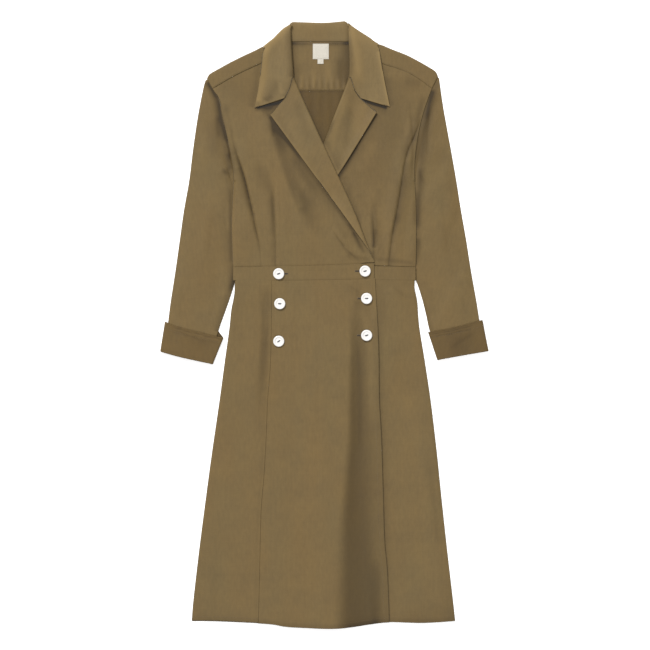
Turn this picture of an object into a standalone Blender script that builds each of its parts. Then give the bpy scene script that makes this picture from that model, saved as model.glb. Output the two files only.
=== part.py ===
"""A wrap dress laid flat, face up, with its collar open and its sleeves straight down.

Plan positions and sizes are in millimetres: x towards the wearer's left, y towards the collar and
z up from the surface the dress lies on. Names say right and left as the wearer would. Every piece
of cloth is a wall of even thickness, and the layers lie on each other with a small clearance.
"""

import math
from collections import namedtuple

import bmesh
import bpy
from mathutils import Vector

MM = 0.001

# Cloth walls and the stack of layers.
WALL = 1.0
BAND_WALL = 1.4
SEAM = 0.3
LAYER = WALL + SEAM
UNDERLAP = LAYER
OVERLAP = 2 * LAYER
OVER_BODICE = 3 * LAYER

# Heights that the dress is laid to.
WAIST_TOP = 110.0
WAIST_LOW = 84.0
ARMPIT = 281.0
NECK_SEAM = 538.0
YOKE_SEAM = 445.0

# The body lies on the inner edge of each sleeve, from armpit to waist.
SLEEVE_RISE = 2 * LAYER
RISE_FROM = 87.0
RISE_FULL = 147.0

# The collar's fall lies under the back of the neck.
COLLAR_RISE = LAYER
NECK_MIDDLE = -7.0

# Buttons and labels.
BUTTON_RADIUS = 10.6
BUTTON_THICKNESS = 3.0
BUTTON_RIM = 1.9
BUTTON_DISH = 0.7
BUTTON_HOLE = 1.1
HOLE_SPACING = 4.2
BUTTON_SIDES = 24
LABEL_WALL = 1.0

Point = namedtuple("Point", "x y")
Fold = namedtuple("Fold", "x_top y_top x_low y_low half_width height")
Box = namedtuple("Box", "x_low x_high y_low y_high")
Place = namedtuple("Place", "x y")

# ---- outlines, each from top to bottom --------------------------------------------------------

RIGHT_ARMHOLE = [
    Point(-222, 466), Point(-213, 449), Point(-201, 430), Point(-195, 403),
    Point(-183, 351), Point(-175, 312), Point(-172, ARMPIT),
]
LEFT_ARMHOLE = [
    Point(215, 470), Point(204, 449), Point(195, 425), Point(187, 400),
    Point(178, 362), Point(172, 320), Point(171, ARMPIT),
]
RIGHT_BODICE_SIDE = [Point(-172, ARMPIT), Point(-174, 237), Point(-176, 190), Point(-174.5, 140),
                     Point(-173, WAIST_TOP)]
LEFT_BODICE_SIDE = [Point(171, ARMPIT), Point(173, 237), Point(174, 190), Point(174, 140),
                    Point(173, WAIST_TOP)]
RIGHT_SKIRT_SIDE = [
    Point(-170, WAIST_LOW), Point(-172, 57), Point(-177, 28), Point(-181, -10), Point(-189, -67),
    Point(-200, -143), Point(-215, -238), Point(-227, -333), Point(-238, -428), Point(-249, -523),
    Point(-252, -561),
]
LEFT_SKIRT_SIDE = [
    Point(171, WAIST_LOW), Point(171, 66), Point(175, 40), Point(180, -5), Point(190, -67),
    Point(202, -143), Point(214, -238), Point(224, -333), Point(233, -428), Point(244, -523),
    Point(248, -560),
]
HEM = [
    Point(-252, -561), Point(-205, -562), Point(-137, -565), Point(-100, -567), Point(-72, -572),
    Point(-28, -575), Point(20, -576), Point(56, -572), Point(86, -567), Point(123, -563),
    Point(187, -564), Point(248, -560),
]
PRINCESS_SEAM = [
    Point(-101, WAIST_LOW), Point(-101, 0), Point(-103, -80), Point(-108, -143), Point(-111, -218),
    Point(-115, -287), Point(-120, -346), Point(-122, -409), Point(-124, -502), Point(-126, -566),
]
WRAP_EDGE = [
    Point(96, WAIST_LOW + 4), Point(98, 52), Point(101, 0), Point(103, -63), Point(104, -143),
    Point(108, -215), Point(111, -312), Point(114, -408), Point(119, -465), Point(123, -563),
]
UNDER_EDGE = [Point(-88, WAIST_LOW), Point(-93, -140), Point(-104, -350), Point(-112, -568)]

RIGHT_ROLL = [
    Point(-57, 470), Point(-43, 434), Point(-26, 396), Point(-4, 347), Point(26, 283),
    Point(46, 240), Point(60, 208), Point(76, 166), Point(92, 128), Point(95, 119),
]
LEFT_ROLL = [
    Point(46, 471), Point(37, 444), Point(18, 396), Point(-1, 346), Point(-25, 286),
    Point(-45, 240), Point(-60, 205), Point(-73, 166), Point(-84, 128), Point(-87, 119),
]
RIGHT_NECK_EDGE = [Point(-68, 521), Point(-62, 495), Point(-57, 470)]
LEFT_NECK_EDGE = [Point(52, 521), Point(48, 495), Point(46, 471)]
RIGHT_SHOULDER_SEAM = [Point(-213, 449), Point(-168, 475), Point(-121, 497), Point(-68, 521)]
LEFT_SHOULDER_SEAM = [Point(204, 449), Point(172, 472), Point(144, 485), Point(111, 496),
                      Point(52, 521)]
RIGHT_SHOULDER_FOLD = [
    Point(-222, 466), Point(-214, 479), Point(-200, 488), Point(-172, 503), Point(-142, 518),
    Point(-125, 523.5), Point(-113, 526), Point(-100, 530), Point(-68, 546),
]
LEFT_SHOULDER_FOLD = [
    Point(215, 470), Point(212, 480), Point(204, 488), Point(178, 503), Point(145, 518),
    Point(124, 524.5), Point(112, 528), Point(99, 531), Point(50, 546),
]

RIGHT_GORGE = [Point(-75, 431), Point(-66, 450), Point(-58, 470)]
LEFT_GORGE = [Point(70, 429), Point(57, 446), Point(47, 470)]
RIGHT_LAPEL_EDGE = [
    Point(-103, 398), Point(-67, 348), Point(-25, 289), Point(25, 224), Point(56, 180),
    Point(79, 149), Point(91, 129),
]
LEFT_LAPEL_EDGE = [
    Point(99, 404), Point(69, 346), Point(25, 283), Point(-18, 224), Point(-50, 180),
    Point(-72, 149), Point(-83, 129),
]

RIGHT_WING_FOLD = [Point(-115, 529.5), Point(-102, 542), Point(-88, 557), Point(-77, 565),
                   Point(-64, 574)]
LEFT_WING_FOLD = [Point(101, 535), Point(94, 542), Point(83, 550), Point(66, 563), Point(48, 574)]
RIGHT_WING_EDGE = [Point(-133, 412), Point(-126, 446), Point(-120, 492), Point(-115, 529.5)]
LEFT_WING_EDGE = [Point(123, 414), Point(113, 460), Point(106, 503), Point(101, 535)]
RIGHT_WING_ROLL = [Point(-58, 470), Point(-61, 510), Point(-63, 545), Point(-64, 574)]
LEFT_WING_ROLL = [Point(47, 470), Point(47, 510), Point(46, 545), Point(48, 574)]
COLLAR_TOP = [Point(-60, 576.5), Point(-30, 577.5), Point(-7, 577.5), Point(20, 577.5),
              Point(44, 576.5)]
FALL_EDGE = [Point(-118, 521), Point(-60, 517), Point(-7, 516), Point(45, 518), Point(104, 526)]

RIGHT_SLEEVE_OUTER = [
    Point(-223, 465), Point(-229, 455), Point(-235, 427), Point(-242, 389), Point(-250, 332),
    Point(-257, 275), Point(-267, 218), Point(-275, 161), Point(-283, 104), Point(-292, 45),
    Point(-297, 5), Point(-303, -40),
]
RIGHT_SLEEVE_INNER = [
    Point(-172.6, ARMPIT), Point(-174.6, 262), Point(-173, 240), Point(-158, 222), Point(-151, 190),
    Point(-152, 150), Point(-160, 112), Point(-171, 83), Point(-182, 50), Point(-193, 19),
    Point(-203, -12), Point(-216, -62),
]
LEFT_SLEEVE_OUTER = [
    Point(216, 469), Point(222, 452), Point(227, 415), Point(233, 370), Point(240, 332),
    Point(250, 275), Point(259, 218), Point(269, 161), Point(278, 104), Point(288, 47),
    Point(294, 8), Point(301, -40),
]
LEFT_SLEEVE_INNER = [
    Point(171.6, ARMPIT), Point(174.8, 262), Point(173.5, 242), Point(160, 220), Point(151, 190),
    Point(152, 150), Point(161, 112), Point(172, 82), Point(184, 50), Point(193, 19),
    Point(202, -12), Point(219, -56),
]
RIGHT_CUFF_OUTER = [Point(-303, 6), Point(-307.5, -22), Point(-312, -50)]
RIGHT_CUFF_INNER = [Point(-192, -25), Point(-202, -49), Point(-212, -74)]
RIGHT_CUFF_TOP = [Point(-303, 6), Point(-281, -3), Point(-232, -16), Point(-192, -25)]
RIGHT_CUFF_LOW = [Point(-312, -50), Point(-272, -61), Point(-212, -74)]
LEFT_CUFF_OUTER = [Point(300, 9), Point(305.5, -20), Point(311.5, -49)]
LEFT_CUFF_INNER = [Point(197, -14), Point(206, -40), Point(215, -66)]
LEFT_CUFF_TOP = [Point(300, 9), Point(262, -1), Point(232, -8), Point(197, -14)]
LEFT_CUFF_LOW = [Point(311.5, -49), Point(263, -57), Point(215, -66)]

# ---- folds, buttons and labels ----------------------------------------------------------------

# Each fold runs down past the edge that ends it, and grows over its first third.
RIGHT_TUCKS = [
    Fold(-166, 322, -119, 100, 22, 1.2),
    Fold(-97, 262, -95, 100, 20, 1.0),
]
LEFT_TUCKS = [Fold(148, 279, 120, 100, 20, 1.0)]
RIGHT_SKIRT_FOLDS = [
    Fold(-20, -50, -35, -640, 84, 3.6),
    Fold(112, -70, 122, -640, 34, 1.4),
    Fold(-168, -50, -190, -640, 52, 2.0),
]
LEFT_SKIRT_FOLDS = [
    Fold(-20, -50, -35, -640, 84, 1.7),
    Fold(175, -60, 190, -640, 52, 2.2),
]

BUTTONS = [Place(-87, 97), Place(-85, 40), Place(-87, -31), Place(77, 102), Place(80, 50),
           Place(80, -20)]
LABEL = Box(-22, 8, 505, 534)
SIZE_TAB = Box(-13, -2, 496, 504.7)

# name: colour, roughness, metallic
FINISHES = {
    "cloth": ((0.216, 0.147, 0.065, 1), 0.72, 0),
    "label": ((0.8, 0.76, 0.7, 1), 0.8, 0),
    "pearl": ((0.78, 0.76, 0.73, 1), 0.22, 0),
}


# ---- lines and patches ------------------------------------------------------------------------

def ramp(value, low, high):
    """0 below low, 1 above high, and an even S between."""
    t = min(max((value - low) / (high - low), 0), 1)
    return t * t * (3 - 2 * t)


def read_line(points, fraction):
    """The point at this fraction of the way along the named points, by their straight distances."""
    steps = [math.dist(a, b) for a, b in zip(points, points[1:])]
    reach = fraction * sum(steps)
    span = 0
    while span < len(steps) - 1 and reach > steps[span]:
        reach -= steps[span]
        span += 1
    t = min(reach / steps[span], 1)
    a, b = points[span], points[span + 1]
    before = points[span - 1] if span else a
    after = points[span + 2] if span + 2 < len(points) else b
    return Point(*(hermite(before[i], a[i], b[i], after[i], t) for i in (0, 1)))


def hermite(before, a, b, after, t):
    """A smooth step from a to b whose ends lean towards their neighbours."""
    lean_a = (b - before) / 2
    lean_b = (after - a) / 2
    return (a * (2 * t**3 - 3 * t**2 + 1) + lean_a * (t**3 - 2 * t**2 + t)
            + b * (3 * t**2 - 2 * t**3) + lean_b * (t**3 - t**2))


def spread(points, count):
    """count + 1 points, evenly spaced along a line."""
    return [read_line(points, i / count) for i in range(count + 1)]


def at_heights(points, heights):
    """Where a falling line passes each height."""
    fine = spread(points, 20 * len(points))
    found = []
    for height in heights:
        high, low = next((a, b) for a, b in zip(fine, fine[1:]) if height >= b.y or b is fine[-1])
        t = min(max((high.y - height) / max(high.y - low.y, 1e-6), 0), 1)
        found.append(Point(high.x + (low.x - high.x) * t, height))
    return found


def at_widths(points, widths):
    """Where a line that runs across passes each x."""
    fine = sorted(spread(points, 20 * len(points)))
    found = []
    for x in widths:
        a, b = next((a, b) for a, b in zip(fine, fine[1:]) if x <= b.x or b is fine[-1])
        t = (x - a.x) / max(b.x - a.x, 1e-6)
        found.append(Point(x, a.y + (b.y - a.y) * t))
    return found


def between(a, b, t):
    return Point(a.x + (b.x - a.x) * t, a.y + (b.y - a.y) * t)


def patch(top, low, side_a, side_b):
    """Rows of plan points that fill the space inside four edges, from top to low and from a to b."""
    across, down = len(top) - 1, len(side_a) - 1
    corners = (top[0], top[-1], low[0], low[-1])
    rows = []
    for j in range(down + 1):
        v = j / down
        row = []
        for i in range(across + 1):
            u = i / across
            point = []
            for k in (0, 1):
                ruled = (1 - v) * top[i][k] + v * low[i][k] + (1 - u) * side_a[j][k] + u * side_b[j][k]
                bilinear = ((1 - v) * ((1 - u) * corners[0][k] + u * corners[1][k])
                            + v * ((1 - u) * corners[2][k] + u * corners[3][k]))
                point.append(ruled - bilinear)
            row.append(Point(*point))
        rows.append(row)
    return rows


def straight_rows(side_a, side_b, across):
    """Rows of plan points that run straight from one side to the other."""
    return [[between(a, b, i / across) for i in range(across + 1)] for a, b in zip(side_a, side_b)]


# ---- heights ----------------------------------------------------------------------------------

def fold_height(folds, x, y):
    """How far the named folds lift the cloth here."""
    lift = 0
    for fold in folds:
        t = (fold.y_top - y) / (fold.y_top - fold.y_low)
        if not 0 < t < 1:
            continue
        centre = fold.x_top + (fold.x_low - fold.x_top) * t
        off = abs(x - centre) / fold.half_width
        if off < 1:
            lift += fold.height * math.cos(off * math.pi / 2) ** 2 * ramp(t, 0, 0.35)
    return lift


def collar_rise(x, y):
    return COLLAR_RISE * ramp(y, 452, 510) * (1 - ramp(abs(x - NECK_MIDDLE), 114, 172))


def sleeve_rise(x, y, top_from, top_to):
    """The body lifts over the sleeve's inner edge and comes down between the two heights above."""
    sides = ramp(abs(x), RISE_FROM, RISE_FULL)
    return SLEEVE_RISE * sides * ramp(y, 20, WAIST_LOW - 4) * (1 - ramp(y, top_from, top_to))


def back_height(x, y):
    return sleeve_rise(x, y, 258, 340) + collar_rise(x, y)


def left_front_height(x, y):
    return UNDERLAP + sleeve_rise(x, y, 258, 430) + fold_height(LEFT_TUCKS, x, y) + collar_rise(x, y)


def right_front_height(x, y):
    down = 1 - ramp(y, 350, 450)
    return (UNDERLAP + (OVER_BODICE - UNDERLAP) * down + fold_height(RIGHT_TUCKS, x, y)
            + collar_rise(x, y))


def right_lapel_height(x, y):
    return right_front_height(x, y) + LAYER


def left_lapel_height(x, y):
    return left_front_height(x, y) + LAYER


def left_skirt_height(x, y):
    return UNDERLAP + sleeve_rise(x, y, 258, 340) + fold_height(LEFT_SKIRT_FOLDS, x, y)


def right_skirt_height(x, y):
    """The overlap, which comes down to the back where nothing lies between them."""
    beside = ramp(-x, 100, 150)
    level = OVERLAP + (UNDERLAP - OVERLAP) * beside
    return level + (sleeve_rise(x, y, 258, 340) if x < 0 else 0) + fold_height(RIGHT_SKIRT_FOLDS, x, y)


def back_band_height(x, y):
    return sleeve_rise(x, y, 258, 340)


def left_band_height(x, y):
    return BAND_WALL + SEAM + sleeve_rise(max(x, 0), y, 258, 340)


def right_band_height(x, y):
    side = SLEEVE_RISE - BAND_WALL - SEAM
    return 2 * (BAND_WALL + SEAM) + side * ramp(-x, RISE_FROM, RISE_FULL)


def yoke_front_height(x, y):
    return UNDERLAP + collar_rise(x, y)


# ---- building ---------------------------------------------------------------------------------

def clear_scene():
    for item in list(bpy.data.objects):
        bpy.data.objects.remove(item, do_unlink=True)


def finish_of(kind, name):
    colour, roughness, metallic = FINISHES[kind]
    material = bpy.data.materials.new(f"{name}_{kind}")
    material.use_nodes = True
    shader = material.node_tree.nodes["Principled BSDF"]
    shader.inputs["Base Color"].default_value = colour
    shader.inputs["Roughness"].default_value = roughness
    shader.inputs["Metallic"].default_value = metallic
    return material


def add_object(name, mesh, kind):
    """Turns a bmesh into a named object with its own finish."""
    data = bpy.data.meshes.new(name)
    mesh.to_mesh(data)
    mesh.free()
    made = bpy.data.objects.new(name, data)
    data.materials.append(finish_of(kind, name))
    bpy.context.scene.collection.objects.link(made)
    return made


class Skin:
    """The middle surface of a wall, gathered from rows of points that share their edges."""

    def __init__(self):
        self.mesh = bmesh.new()

    def add_rows(self, rows, turned=False):
        """Fills a grid of 3-D points, given in millimetres."""
        grid = [[self.mesh.verts.new(Vector(point) * MM) for point in row] for row in rows]
        for upper, lower in zip(grid, grid[1:]):
            for i in range(len(upper) - 1):
                corners = [upper[i], lower[i], lower[i + 1], upper[i + 1]]
                self.mesh.faces.new(corners[::-1] if turned else corners)

    def add_layer(self, plan, height, wall=WALL, turned=False):
        """Fills a plan grid at this height, which is the underside of the wall."""
        self.add_rows([[(p.x, p.y, height(p.x, p.y) + wall / 2) for p in row] for row in plan], turned)

    def make(self, name, kind="cloth", wall=WALL):
        bmesh.ops.remove_doubles(self.mesh, verts=self.mesh.verts, dist=0.02 * MM)
        bmesh.ops.recalc_face_normals(self.mesh, faces=self.mesh.faces)
        made = add_object(name, self.mesh, kind)
        solidify = made.modifiers.new("wall", "SOLIDIFY")
        solidify.thickness = wall * MM
        solidify.offset = 0
        solidify.use_even_offset = True
        return made


def make_sheet(name, plan, height, wall=WALL):
    skin = Skin()
    skin.add_layer(plan, height, wall)
    return skin.make(name)


def fold_round(edge, outward, low, high, steps=4):
    """Points round a fold whose outside touches edge, from the lower wall's middle to the upper's."""
    radius = (high - low) / 2
    points = []
    for i in range(steps + 1):
        angle = math.pi * (i / steps - 0.5)
        reach = radius * math.cos(angle) - radius - WALL / 2
        points.append((edge.x + outward.x * reach, edge.y + outward.y * reach,
                       low + radius + radius * math.sin(angle)))
    return points


def outward_along(line, middle):
    """For each point of a line, the level direction square to it and away from middle."""
    found = []
    for i in range(len(line)):
        before, after = line[max(i - 1, 0)], line[min(i + 1, len(line) - 1)]
        square = Vector((after.y - before.y, before.x - after.x)).normalized()
        away = Vector((line[i].x - middle.x, line[i].y - middle.y))
        found.append(square if square.dot(away) > 0 else -square)
    return found


def tube_rings(row, low_height, high_height):
    """The outer and inner outlines of a flattened tube across one row of plan points."""
    first, last = row[0], row[-1]
    across = Vector((last.x - first.x, last.y - first.y)).normalized()
    rings = []
    for inset in (0, WALL):
        ring = edge_arc(first, across, low_height(first) + inset, high_height(first) + WALL - inset, inset)
        ring += [(p.x, p.y, high_height(p) + WALL - inset) for p in row[1:-1]]
        turn = edge_arc(last, -across, low_height(last) + inset, high_height(last) + WALL - inset, inset)
        ring += turn[::-1]
        ring += [(p.x, p.y, low_height(p) + inset) for p in reversed(row[1:-1])]
        rings.append(ring)
    return rings


def edge_arc(edge, inward, low, high, inset, steps=3):
    """A half circle from low to high whose outside is inset from the edge of the plan."""
    radius = (high - low) / 2
    points = []
    for i in range(steps + 1):
        angle = math.pi * (i / steps - 0.5)
        reach = inset + radius * (1 - math.cos(angle))
        points.append((edge.x + inward.x * reach, edge.y + inward.y * reach,
                       low + radius + radius * math.sin(angle)))
    return points


def make_tube(name, plan, low_height, high_height):
    """A flattened tube: rows run along it and each row runs from its outer to its inner edge."""
    mesh = bmesh.new()
    loops = [[[mesh.verts.new(Vector(point) * MM) for point in ring]
              for ring in tube_rings(row, low_height, high_height)] for row in plan]
    count = len(loops[0][0])
    for i in range(count):
        j = (i + 1) % count
        for upper, lower in zip(loops, loops[1:]):
            mesh.faces.new((upper[0][i], upper[0][j], lower[0][j], lower[0][i]))
            mesh.faces.new((upper[1][j], upper[1][i], lower[1][i], lower[1][j]))
        for outer, inner in (loops[0], loops[-1][::-1]):
            mesh.faces.new((outer[j], outer[i], inner[i], inner[j]))
    bmesh.ops.recalc_face_normals(mesh, faces=mesh.faces)
    return add_object(name, mesh, "cloth")


# ---- the bodice -------------------------------------------------------------------------------

# Heights of the rows on the side of the bodice, from armhole top to waist.
BODICE_ROWS = [449, 425, 400, 370, 335, 305, ARMPIT, 258, 235, 210, 185, 160, 135, WAIST_TOP + SEAM]


def bodice_side(armhole, side):
    """A bodice panel's outer edge, down the armhole and on to the waist."""
    return at_heights(armhole[1:] + side[1:], BODICE_ROWS)


def make_front(name, side, neck_edge, roll, shoulder, height):
    """A front bodice from its side to its roll line, with its top on the forward shoulder seam."""
    inner = spread(neck_edge + roll[1:], len(side) - 1)
    stations = [Point(p.x, p.y - SEAM) for p in reversed(shoulder)]
    top = stations[:1]
    for a, b in zip(stations, stations[1:]):
        top += [between(a, b, 0.5), b]
    across = len(top) - 1
    low = [between(side[-1], inner[-1], i / across) for i in range(across + 1)]
    side[0], inner[0] = top[0], top[-1]
    make_sheet(name, patch(top, low, side, inner), height)


def make_back_bodice(right_side, left_side):
    top = YOKE_SEAM - SEAM
    rows = straight_rows([armhole_corner(RIGHT_ARMHOLE, top)] + right_side[1:],
                         [armhole_corner(LEFT_ARMHOLE, top)] + left_side[1:], 14)
    make_sheet("back_bodice", rows, back_height)


def armhole_corner(armhole, height):
    """The place on the straight top stretch of the armhole at this height."""
    high, low = at_heights(armhole, BODICE_ROWS[:2])
    return between(high, low, (high.y - height) / (high.y - low.y))


# How far up the back of the yoke each row lies.
YOKE_ROWS = [0, 0.3, 0.6, 0.85, 1]


def shoulder_stations(fold):
    """The x of each column across one shoulder of the yoke, from the neck to the armhole."""
    columns = 6
    neck_x = fold[-1].x
    armhole_x = fold[0].x - math.copysign(2.5, fold[0].x)
    return [neck_x + (armhole_x - neck_x) * i / columns for i in range(columns + 1)]


def shoulder_seam(fold, seam):
    """The forward shoulder seam's points, from the neck to the armhole."""
    return at_widths(seam, shoulder_stations(fold)[:-1]) + [seam[0]]


def yoke_flap(skin, fold, seam, armhole):
    """One shoulder of the yoke: up the back, over the fold, and down to the forward seam."""
    fold_line = at_widths(fold, shoulder_stations(fold))
    seam_line = [Point(p.x, p.y + SEAM) for p in shoulder_seam(fold, seam)]
    outward = outward_along(fold_line, Point(NECK_MIDDLE, 0))
    low_edge = [Point(p.x, YOKE_SEAM + SEAM) for p in fold_line]
    low_edge[-1] = armhole_corner(armhole, YOKE_SEAM + SEAM)
    columns_of_points = []
    for edge, low, front, away in zip(fold_line, low_edge, seam_line, outward):
        middle = back_height(edge.x, edge.y) + WALL / 2
        turn = fold_round(edge, away, middle, middle + LAYER)
        inner = Point(turn[0][0], turn[0][1])
        column = [between(low, inner, t) for t in YOKE_ROWS[:-1]]
        points = [(p.x, p.y, back_height(p.x, p.y) + WALL / 2) for p in column] + turn
        for t in (0.4, 1):
            p = between(inner, front, t)
            points.append((p.x, p.y, yoke_front_height(p.x, p.y) + WALL / 2))
        columns_of_points.append(points)
    skin.add_rows(columns_of_points)
    return columns_of_points[0][:len(YOKE_ROWS)]


def make_yoke():
    """The back of the yoke between the neck's ends, and a shoulder on each side of it."""
    skin = Skin()
    right = yoke_flap(skin, RIGHT_SHOULDER_FOLD, RIGHT_SHOULDER_SEAM, RIGHT_ARMHOLE)
    left = yoke_flap(skin, LEFT_SHOULDER_FOLD, LEFT_SHOULDER_SEAM, LEFT_ARMHOLE)
    neck_step = 0.6
    rows = []
    for end in spread([Point(right[0][0] + neck_step, 0), Point(left[0][0] - neck_step, 0)], 5):
        low, high = Point(end.x, YOKE_SEAM + SEAM), Point(end.x, NECK_SEAM - SEAM)
        column = [between(low, high, t) for t in YOKE_ROWS]
        rows.append([(p.x, p.y, back_height(p.x, p.y) + WALL / 2) for p in column])
    skin.add_rows([right] + rows + [left])
    skin.make("back_yoke")


# ---- collar and lapels ------------------------------------------------------------------------

def beside_gorge(gorge, shift):
    """The gorge seam moved outwards or upwards by a shift, to the collar's or the lapel's side."""
    return [Point(p.x + math.copysign(shift, p.x), p.y + shift) for p in gorge]


def make_lapel(name, gorge, edge, roll, height):
    """A turned-back lapel, from the gorge and its point to where it runs out at the waist."""
    down = 10
    seam = beside_gorge(gorge, -SEAM / 2)
    top = [edge[0], between(edge[0], seam[0], 0.5)] + seam
    outer = spread(edge, down)
    inner = spread([top[-1]] + roll[1:-1], down)
    low = [between(outer[-1], inner[-1], i / 4) for i in range(5)]
    make_sheet(name, patch(top, low, outer, inner), height)


def add_wing(skin, fold, edge, gorge, roll, height):
    """One wing of the collar, with the fold over the shoulder. Returns where that fold starts below."""
    down = 6
    seam = beside_gorge(gorge, SEAM / 2)
    low = [between(edge[0], seam[0], t) for t in (0, 1 / 3, 2 / 3)] + seam
    fold_line = spread(fold, len(low) - 1)
    outward = outward_along(fold_line, Point(NECK_MIDDLE, 400))
    turns = [fold_round(p, away, WALL / 2, height(p.x, p.y) + WALL / 2)
             for p, away in zip(fold_line, outward)]
    top = [Point(turn[-1][0], turn[-1][1]) for turn in turns]
    side_a = spread(edge[::-1], down)
    side_b = spread(roll[::-1], down)
    side_a[0], side_b[0], side_b[-1] = top[0], top[-1], low[-1]
    plan = patch(top, low, side_a, side_b)
    skin.add_layer(plan, height)
    skin.add_rows(turns)
    return [Point(turn[0][0], turn[0][1]) for turn in turns]


def make_collar():
    """The stand in the neck and the two wings, all folded out of the fall behind the neck."""
    skin = Skin()
    right = add_wing(skin, RIGHT_WING_FOLD, RIGHT_WING_EDGE, RIGHT_GORGE, RIGHT_WING_ROLL,
                     right_lapel_height)
    left = add_wing(skin, LEFT_WING_FOLD, LEFT_WING_EDGE, LEFT_GORGE, LEFT_WING_ROLL,
                    left_lapel_height)
    top_line = spread(COLLAR_TOP, 5)
    turns = [fold_round(p, Vector((0, 1)), WALL / 2, WALL / 2 + LAYER) for p in top_line]
    skin.add_rows(turns)
    starts = [Point(turn[-1][0], turn[-1][1]) for turn in turns]
    low = spread([Point(RIGHT_SHOULDER_FOLD[-1].x + 1, NECK_SEAM + SEAM),
                  Point(LEFT_SHOULDER_FOLD[-1].x - 1, NECK_SEAM + SEAM)], 5)
    stand = [[between(a, b, t) for a, b in zip(starts, low)] for t in (0, 0.35, 0.7, 1)]
    skin.add_layer(stand, lambda x, y: LAYER)
    behind = right + [Point(turn[0][0], turn[0][1]) for turn in turns] + left[::-1]
    edge = spread(FALL_EDGE, len(behind) - 1)
    fall = [[between(a, b, t) for a, b in zip(behind, edge)] for t in (0, 0.5, 1)]
    skin.add_layer(fall, lambda x, y: 0)
    skin.make("collar")


# ---- sleeves and cuffs ------------------------------------------------------------------------

SLEEVE_STEPS = [0, 0.04, 0.08, 0.14, 0.22, 0.31, 0.41, 0.51, 0.61, 0.7, 0.78, 0.86, 0.93, 1]
SLEEVE_ACROSS = 7
SLEEVE_FULLNESS = 1.9
CUFF_ACROSS = 6


def make_sleeve(name, armhole, outer, inner, front_height):
    """A set-in sleeve, lying flush with the body at the armhole and inside its cuff below."""
    outer_line = [read_line(outer, t) for t in SLEEVE_STEPS]
    inner_line = [read_line(inner, t) for t in SLEEVE_STEPS]
    seam = at_heights(armhole, [height for height in BODICE_ROWS if height >= ARMPIT])
    top = [outer_line[0]] + [Point(p.x + math.copysign(1.5 * SEAM, p.x), p.y) for p in seam]
    inner_line[0] = top[-1]
    low = [between(outer_line[-1], inner_line[-1], i / SLEEVE_ACROSS) for i in range(SLEEVE_ACROSS + 1)]
    plan = patch(top, low, outer_line, inner_line)
    places = {p: (SLEEVE_STEPS[j], i / SLEEVE_ACROSS)
              for j, row in enumerate(plan) for i, p in enumerate(row)}

    def low_height(p):
        along, _ = places[p]
        by_body = 1 - ramp(along, 0, 0.045)
        return by_body * back_height(p.x, p.y) + LAYER * ramp(along, 0.78, 0.86)

    def high_height(p):
        along, across = places[p]
        by_body = 1 - ramp(along, 0, 0.045)
        in_cuff = ramp(along, 0.78, 0.86)
        full = SLEEVE_FULLNESS * math.sin(math.pi * min(across / 0.72, 1)) ** 2 * ramp(along, 0.03, 0.2)
        own = LAYER + (SEAM + LAYER) * in_cuff + full * (1 - in_cuff)
        return by_body * front_height(p.x, p.y) + (1 - by_body) * own

    make_tube(name, plan, low_height, high_height)


def make_cuff(name, top, low, outer, inner):
    """A turned-back cuff: a tube round the end of the sleeve, open above and below."""
    plan = patch(spread(top, CUFF_ACROSS), spread(low, CUFF_ACROSS), spread(outer, 3), spread(inner, 3))
    cuff_top = 3 * LAYER + SEAM
    make_tube(name, plan, lambda p: 0, lambda p: cuff_top)


# ---- waistband and skirt ----------------------------------------------------------------------

def make_bands():
    right_end, left_end, wrap_end, under_end = -173.5, 173, 94.5, -88
    high, low = WAIST_TOP - SEAM, WAIST_LOW + SEAM
    wrap_rise = 7
    table = [
        ("back_waistband", right_end, left_end, 0, 0, 16, back_band_height),
        ("left_waistband", under_end, left_end, wrap_rise, 0, 12, left_band_height),
        ("right_waistband", right_end, wrap_end, 0, wrap_rise, 12, right_band_height),
    ]
    for name, x_a, x_b, rise_a, rise_b, across, height in table:
        side_a = [Point(x_a, high + rise_a), Point(x_a, low + rise_a / 2)]
        side_b = [Point(x_b, high + rise_b), Point(x_b, low + rise_b / 2)]
        skin = Skin()
        skin.add_layer(straight_rows(side_a, side_b, across), height, BAND_WALL)
        skin.make(name, wall=BAND_WALL)


SKIRT_ROWS = [WAIST_LOW, 62, 40, 18, -15, -60, -110, -165, -225, -290, -355, -420, -490, -560]


def skirt_plan(side_a, side_b, across):
    """Rows from the waist to the curved hem between two edges."""
    line_a, line_b = at_heights(side_a, SKIRT_ROWS), at_heights(side_b, SKIRT_ROWS)
    xs = [line_a[-1].x + (line_b[-1].x - line_a[-1].x) * i / across for i in range(across + 1)]
    hem = at_widths(HEM, xs)
    line_a[-1], line_b[-1] = hem[0], hem[-1]
    waist = [between(line_a[0], line_b[0], i / across) for i in range(across + 1)]
    return patch(waist, hem, line_a, line_b)


def shift(points, x):
    return [Point(p.x + x, p.y) for p in points]


def make_skirt():
    table = [
        ("back_skirt", RIGHT_SKIRT_SIDE, LEFT_SKIRT_SIDE, 12, back_height),
        ("left_front_skirt", UNDER_EDGE, LEFT_SKIRT_SIDE, 13, left_skirt_height),
        ("right_front_skirt", shift(PRINCESS_SEAM, SEAM / 2), WRAP_EDGE, 11, right_skirt_height),
        ("right_side_skirt", RIGHT_SKIRT_SIDE, shift(PRINCESS_SEAM, -SEAM / 2), 6,
         right_skirt_height),
    ]
    for name, side_a, side_b, across, height in table:
        make_sheet(name, skirt_plan(side_a, side_b, across), height)


# ---- buttons and labels -----------------------------------------------------------------------

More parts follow.
